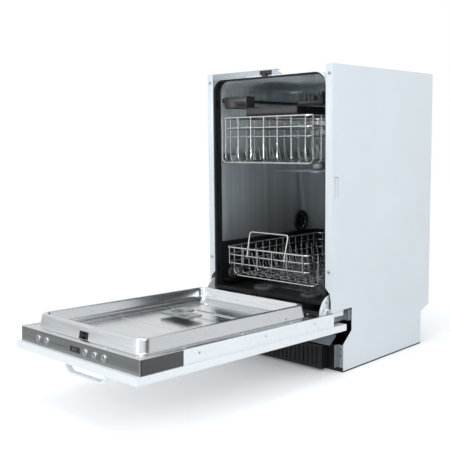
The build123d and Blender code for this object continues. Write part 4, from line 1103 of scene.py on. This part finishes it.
def latch():
    cad = near("door_latch", True)
    bolt = near("latch_bolt", True)
    shape = Shape()
    # a wedge-shaped nose with a dark throat
    nose = [(cad.y0 - 1.2, cad.z0), (cad.y0 - 1.2, cad.z0 + 3), (cad.y0 + 2, cad.z1), (cad.y1, cad.z1),
            (cad.y1, cad.z0)]
    for x0, x1 in ((cad.x0, bolt.x0 - 0.5), (bolt.x1 + 0.5, cad.x1)):
        shape.prism(nose, "x", x0, x1)
    back = [(cad.y1 - 1.4, cad.z0), (cad.y1 - 1.4, cad.z1), (cad.y1, cad.z1), (cad.y1, cad.z0)]
    shape.prism(back, "x", cad.x0, cad.x1)
    piece("latch_housing", shape, "door", "black_plastic", ["door_latch"], on_door=True, bevel=0.4)
    tongue = [(bolt.y0, bolt.z0), (bolt.y0 + 1.2, bolt.z1), (bolt.y1, bolt.z1), (bolt.y1, bolt.z0)]
    piece("latch_tongue", Shape().prism(tongue, "x", bolt.x0, bolt.x1), "latch_bolt", "black_plastic",
          ["latch_bolt"], on_door=True, bevel=0.3)


def dispenser():
    """Detergent and rinse-aid unit."""
    cad = near("dispenser_body", True)
    lid, cap = near("dispenser_lid", True), near("rinse_cap", True)
    z0, top = cad.z0, cad.z1
    tray = ((0, 16, z0), (0, 16, z0 + 2.2), (2.2, 14, z0 + 3.4), (3, 13, z0 + 3.4), (3.6, 12.5, top - 6.5),
            (5, 11, top - 4.6), (9, 9, top - 4.2))
    shape = Shape().skin(stacked(cad.x0, cad.x1, cad.y0, cad.y1, tray, 8))
    raised = (0, 8, top - 5), (0, 8, top - 1.2), (1.2, 7, top)
    shape.skin(stacked(cad.x0 + 5, lid.x0 - 3, cad.y0 + 6, cad.y1 - 6, raised))
    for y in (lid.y0 - 1.5, cad.y1 - 2.2):
        shape.tube([(lid.x0 - 1, y, top - 2.4), (lid.x1 + 1, y, top - 2.4)], 1.5, 8)
    cup = Shape().lathe((cap.x, cap.y, 0), (0, 0, 1), [(15.6, top - 5.5), (15.6, top + 3)], 32)
    cup.prism(rounded(lid.x0 + 8, lid.x0 + 52, lid.y1 + 2, cad.y1 - 9, 6, 5), "z", z0 + 1.6, top + 3)
    piece("dispenser_case", shape, "door", "grey_plastic", ["dispenser_body"], on_door=True, carve=cup,
          angle=40)
    plate = (0, 6, lid.z0), (0, 6, top - 1.2), (1.1, 6 - 1.1, top)
    slider = Shape().skin(stacked(lid.x0, lid.x1, lid.y0, lid.y1, plate))
    for y in steps_between(lid.y0 + 9, lid.y0 + 21, 4):
        slider.tube([(lid.x0 + 16, y, top), (lid.x1 - 14, y, top)], 0.9, 6)
    slider.block(lid.x0 + 20, lid.x1 - 18, lid.y0 + 4.5, lid.y0 + 6.5, top - 0.5, lid.z1)
    piece("dispenser_slider", slider, "dispenser_lid", "grey_plastic", ["dispenser_lid"], on_door=True,
          angle=40)
    r = (cap.x1 - cap.x0) / 2
    outline = [(r, cap.z0), (r, top + 0.4), (r - 1, top + 1.4), (r - 4, top + 1.4), (r - 5, top + 0.6),
               (1, top + 0.6)]
    turn = Shape().lathe((cap.x, cap.y, 0), (0, 0, 1), outline, 40)
    turn.prism(rounded(cap.x - 11, cap.x + 11, cap.y - 2.2, cap.y + 2.2, 2.1, 4), "z", top, cap.z1)
    piece("rinse_knob", turn, "rinse_cap", "dark_grey_plastic", ["rinse_cap"], on_door=True, angle=40)


def seal_strip():
    """The soft lip across the door's lower edge."""
    cad = near("door_seal", True)
    y0, y1, z0, z1 = cad.y0, cad.y1, cad.z0, cad.z1
    lip = [(y0, z0), (y0, z0 + 1.4), (y0 + 2.2, z0 + 2.0), (y0 + 3.4, z1 - 0.4), (y0 + 4.6, z1),
           (y0 + 5.2, z1 - 1), (y0 + 5.0, z0 + 1.8), (y1, z0 + 1.4), (y1, z0)]
    piece("lower_lip", Shape().prism(lip, "x", cad.x0, cad.x1), "door", "black_rubber", ["door_seal"],
          on_door=True, bevel=0.2)


def screw(shape, centre, axis, r, high):
    """A low pan head."""
    head = [(r, -0.2), (r, high * 0.35), (r * 0.8, high * 0.8), (r * 0.45, high), (0.2, high)]
    shape.lathe(centre, axis, head, 20)


def screws():
    cad = near("liner_screws", True)
    case = near("door_casing", True)
    z = cad.z0
    shape = Shape()
    places = [(x, cad.y0 + 3.4) for x in END_SCREWS]
    places += [(x, y) for x in (-SIDE_SCREW_X, SIDE_SCREW_X) for y in SIDE_SCREWS]
    for x, y in places:
        screw(shape, (x, y, z), (0, 0, 1), 3.4, 1.8)
    piece("screw_heads", shape, "door", "stainless_satin", ["liner_screws"], on_door=True, angle=50)
    sides = Shape()
    for side in (-1, 1):
        for y in RIM_SCREWS:
            screw(sides, (side * (RIM_BASE - 0.8), y, z + 6.5), (side, 0, 0.15), 3.2, 1.0)
        for y in CASING_SCREWS:
            screw(sides, (side * (case.x1 - 0.1), y, case.z + 4), (side, 0, 0), 2.6, 0.6)
    piece("casing_screws", sides, "door", "galvanised", on_door=True, angle=50)
    flange = Shape()
    for x in (-FLANGE_SCREW_X, FLANGE_SCREW_X):
        for z in FLANGE_SCREWS:
            screw(flange, (x, -0.1, z), (0, -1, 0), 4.4, 2.2)
    piece("flange_screws", flange, "cabinet", "galvanised", angle=50)


def springs():
    shape = Shape()
    steps = SPRING_TURNS * TURN_STEPS
    end = SPRING_START + SPRING_LONG
    z = SPRING_Z
    for x in (-SPRING_X, SPRING_X):
        coil = []
        for k in range(steps + 1):
            t = math.tau * k / TURN_STEPS
            y = SPRING_START + SPRING_LONG * k / steps
            coil.append((x + 5.4 * math.cos(t), y, z + 5.4 * math.sin(t)))
        shape.tube(coil, 1.5, 6)
        hook = bend([(x, end, z + 5), (x, end + 6, z), (x, end + 14, z), (x, end + 21, z + 4),
                     (x, end + 21, z - 3)], 4)
        shape.tube(hook, 1.5, 8)
        tail = [(x, SPRING_START, z - 5), (x, SPRING_START - 6, z), (x, SPRING_START - 14, z)]
        shape.tube(bend(tail, 4), 1.5, 8)
    piece("spring_coils", shape, "cabinet", "galvanised", ["door_springs"], angle=60)


def foot(node):
    """A levelling foot: a rubber pad, a hexagon and a threaded rod."""
    cad = near(node)
    x, y = cad.x, cad.y
    pad = [(13.5, 0), (16, 0.8), (16, 3.5), (13, 5.2), (8.5, 6), (8.5, 8)]
    shape = Shape().lathe((x, y, 0), (0, 0, 1), pad, 40)
    shape.prism([(x + a, y + b) for a, b in circle(7.4, 6)], "z", 5.5, 8)
    thread = [(4, 8)]
    for k in range(int(cad.z1 - 10)):
        thread += [(4.0, 8.2 + k), (3.5, 8.7 + k)]
    thread.append((3.5, cad.z1))
    shape.lathe((x, y, 0), (0, 0, 1), thread, 16)
    piece(node.replace("foot", "levelling"), shape, node, "black_rubber", [node], angle=50)


def stub(name, node, r, ridges):
    """The thread or barbs of a hose stub at the back, which the CAD leaves out."""
    cad = near(node)
    gap = 15.0 / ridges
    shape = Shape()
    for k in range(ridges):
        y = cad.y1 - 2.4 - k * gap
        shape.lathe((cad.x, y, cad.z), (0, 1, 0), [(r - 0.9, -gap * 0.5), (r, 0), (r - 0.9, gap * 0.4)], 32)
    piece(name, shape, "cabinet", "black_plastic", angle=50)


def casing_details():
    """Two folded seams along each side of the door."""
    case = near("door_casing", True)
    x = case.x1 + 0.02
    shape = Shape()
    for side in (-1, 1):
        x0, x1 = span(side, x - 0.3, x + 0.35)
        for z0, z1 in ((22.0, 23.4), (3.0, 4.2)):
            shape.block(x0, x1, case.y0 + 6, case.y1 - 18, case.z0 + z0, case.z0 + z1)
    piece("casing_seams", shape, "door", "casing_steel", on_door=True, bevel=0.2)


def hinge_rivets():
    cheeks = near("hinge_cheeks", True)
    shape = Shape()
    for side in (-1, 1):
        x = side * cheeks.x0
        for y, z in RIVETS:
            shape.lathe((x, y, z), (-side, 0, 0), [(3, -0.2), (3, 0.5), (2.2, 1.0), (0.3, 1.1)], 16)
    piece("cheek_rivets", shape, "door", "galvanised", on_door=True)


# ---------------------------------------------------------------- scene
FLOOR_GLOW = 0.14     # the sweep is overexposed, as in a catalogue picture


FLOOR_SIZE = 8.0      # metres


def make_floor():
    corners = [(x * FLOOR_SIZE, y * FLOOR_SIZE, 0) for x, y in ((-1, -1), (1, -1), (1, 1), (-1, 1))]
    mesh = bpy.data.meshes.new("floor")
    mesh.from_pydata(corners, [], [(0, 1, 2, 3)])
    floor = bpy.data.objects.new("floor", mesh)
    floor.location.z = -0.0005
    bpy.context.scene.collection.objects.link(floor)
    finish = Finish("floor", (0.93, 0.93, 0.93), 0.7)
    finish.vary_colour(finish.noise(2), 0.99, 1.0)
    finish.shader.inputs["Emission Color"].default_value = (1, 1, 1, 1)
    finish.shader.inputs["Emission Strength"].default_value = FLOOR_GLOW
    mesh.materials.append(finish.material)
    floor.visible_glossy = False


def hang(lamp, place, target):
    """Put a lamp in the scene, turned to its target."""
    thing = bpy.data.objects.new(lamp.name, lamp)
    thing.location = place
    thing.rotation_euler = (Vector(target) - Vector(place)).to_track_quat("-Z", "Y").to_euler()
    bpy.context.scene.collection.objects.link(thing)


def area(name, place, target, size, power, colour=(1, 1, 1)):
    lamp = bpy.data.lights.new(name, "AREA")
    lamp.shape = "RECTANGLE"
    lamp.size, lamp.size_y = size
    lamp.energy = power
    lamp.color = colour
    hang(lamp, place, target)


def narrow_light(name, place, target, angle, power):
    """A cone that goes through the opening only."""
    lamp = bpy.data.lights.new(name, "SPOT")
    lamp.spot_size = math.radians(angle)
    lamp.spot_blend = 0.6
    lamp.shadow_soft_size = 0.08
    lamp.energy = power
    hang(lamp, place, target)


# What the shiny surfaces see of the studio: direction, where it starts, where it is full, how bright.
ROOM_TONE = 0.05
FILL_TONE = 1.0
SOFTBOXES = (
    ((-0.69, 0.72, 0.35), -0.35, 0.85, 0.95),
    ((0.0, -1.0, 0.9), 0.05, 0.95, 1.15),
    ((0.66, 0.70, 0.28), 0.80, 1.00, 0.95),
)


def make_world():
    world = bpy.data.worlds.new("studio")
    bpy.context.scene.world = world
    world.use_nodes = True
    tree = world.node_tree
    shown = tree.nodes["Background"]
    shown.inputs["Color"].default_value = (1, 1, 1, 1)
    place = tree.nodes.new("ShaderNodeTexCoord")
    tone = None
    for axis, first, last, bright in SOFTBOXES:
        facing = tree.nodes.new("ShaderNodeVectorMath")
        facing.operation = "DOT_PRODUCT"
        facing.inputs[1].default_value = axis
        tree.links.new(place.outputs["Generated"], facing.inputs[0])
        fade = tree.nodes.new("ShaderNodeMapRange")
        fade.interpolation_type = "SMOOTHSTEP"
        fade.inputs["From Min"].default_value = first
        fade.inputs["From Max"].default_value = last
        fade.inputs["To Min"].default_value = ROOM_TONE
        fade.inputs["To Max"].default_value = bright
        tree.links.new(facing.outputs["Value"], fade.inputs["Value"])
        if tone is None:
            tone = fade.outputs["Result"]
            continue
        both = tree.nodes.new("ShaderNodeMath")
        both.operation = "MAXIMUM"
        tree.links.new(tone, both.inputs[0])
        tree.links.new(fade.outputs["Result"], both.inputs[1])
        tone = both.outputs[0]
    glossy = tree.nodes.new("ShaderNodeBackground")
    glossy.inputs["Color"].default_value = (0.96, 0.98, 1.0, 1)
    tree.links.new(tone, glossy.inputs["Strength"])
    diffuse = tree.nodes.new("ShaderNodeBackground")
    diffuse.inputs["Color"].default_value = (0.95, 0.98, 1.0, 1)
    diffuse.inputs["Strength"].default_value = FILL_TONE
    ray = tree.nodes.new("ShaderNodeLightPath")
    for_light = tree.nodes.new("ShaderNodeMixShader")
    tree.links.new(ray.outputs["Is Diffuse Ray"], for_light.inputs[0])
    tree.links.new(glossy.outputs[0], for_light.inputs[1])
    tree.links.new(diffuse.outputs[0], for_light.inputs[2])
    for_all = tree.nodes.new("ShaderNodeMixShader")
    tree.links.new(ray.outputs["Is Camera Ray"], for_all.inputs[0])
    tree.links.new(for_light.outputs[0], for_all.inputs[1])
    tree.links.new(shown.outputs[0], for_all.inputs[2])
    tree.links.new(for_all.outputs[0], tree.nodes["World Output"].inputs["Surface"])


def make_light():
    make_world()
    area("top", (-0.1, -1.0, 2.6), (-0.1, -0.5, 0.2), (1.4, 1.0), 12)
    area("right", (1.4, -1.1, 1.45), (0.22, -0.1, 0.5), (0.7, 0.7), 4.5, (0.95, 0.98, 1.0))
    area("front", (0.5, -2.8, 1.5), (0, 0.2, 0.5), (0.8, 1.0), 7)
    narrow_light("ceiling", (0.03, -1.25, 0.42), (-0.02, 0.15, 0.79), 19, 130)


CAMERA_PLACE = (1384.15, -1601.99, 619.2)
CAMERA_YAW = math.radians(43.94)
CAMERA_DOWN = math.radians(6.2)
CAMERA_ROLL = math.radians(-0.6)
CAMERA_LENS = 61.07
CAMERA_SENSOR = 36.0


def make_camera():
    data = bpy.data.cameras.new("camera")
    data.lens = CAMERA_LENS
    data.sensor_width = CAMERA_SENSOR
    data.clip_start = 0.05
    data.clip_end = 60
    camera = bpy.data.objects.new("camera", data)
    level_part = math.cos(CAMERA_DOWN)
    ahead = Vector((-math.sin(CAMERA_YAW) * level_part, math.cos(CAMERA_YAW) * level_part,
                    -math.sin(CAMERA_DOWN)))
    level = Vector((math.cos(CAMERA_YAW), math.sin(CAMERA_YAW), 0))
    rise = level.cross(ahead)
    right = level * math.cos(CAMERA_ROLL) + rise * math.sin(CAMERA_ROLL)
    up = rise * math.cos(CAMERA_ROLL) - level * math.sin(CAMERA_ROLL)
    turn = Matrix((right, up, -ahead)).transposed().to_4x4()
    camera.matrix_world = Matrix.Translation(TO_ROW @ Vector(CAMERA_PLACE)) @ turn
    bpy.context.scene.collection.objects.link(camera)
    bpy.context.scene.camera = camera


make_camera()
make_floor()
make_light()
bpy.context.scene.view_settings.view_transform = "Standard"
dress_cad()

tub()
tank()
gasket()
strike()
vent()
duct()
filter_bed()
knob("filter_knob", "filter_cup", 4)
knob("salt_knob", "salt_cap", 3)
spray_arm("lower_blades", "lower_spray_arm")
spray_arm("upper_blades", "upper_spray_arm")
rails()
lower_basket()
wheels("front")
wheels("rear")
upper_basket()
upper_feed()
cutlery_tray()
door_liner()
fascia_marks()
buttons()
display()
handle()
latch()
dispenser()
seal_strip()
screws()
springs()
foot("foot_front_left")
foot("foot_front_right")
foot("foot_rear")
stub("inlet_thread", "inlet_valve", 13.2, 7)
stub("drain_barbs", "drain_stub", 10.0, 3)
casing_details()
hinge_rivets()
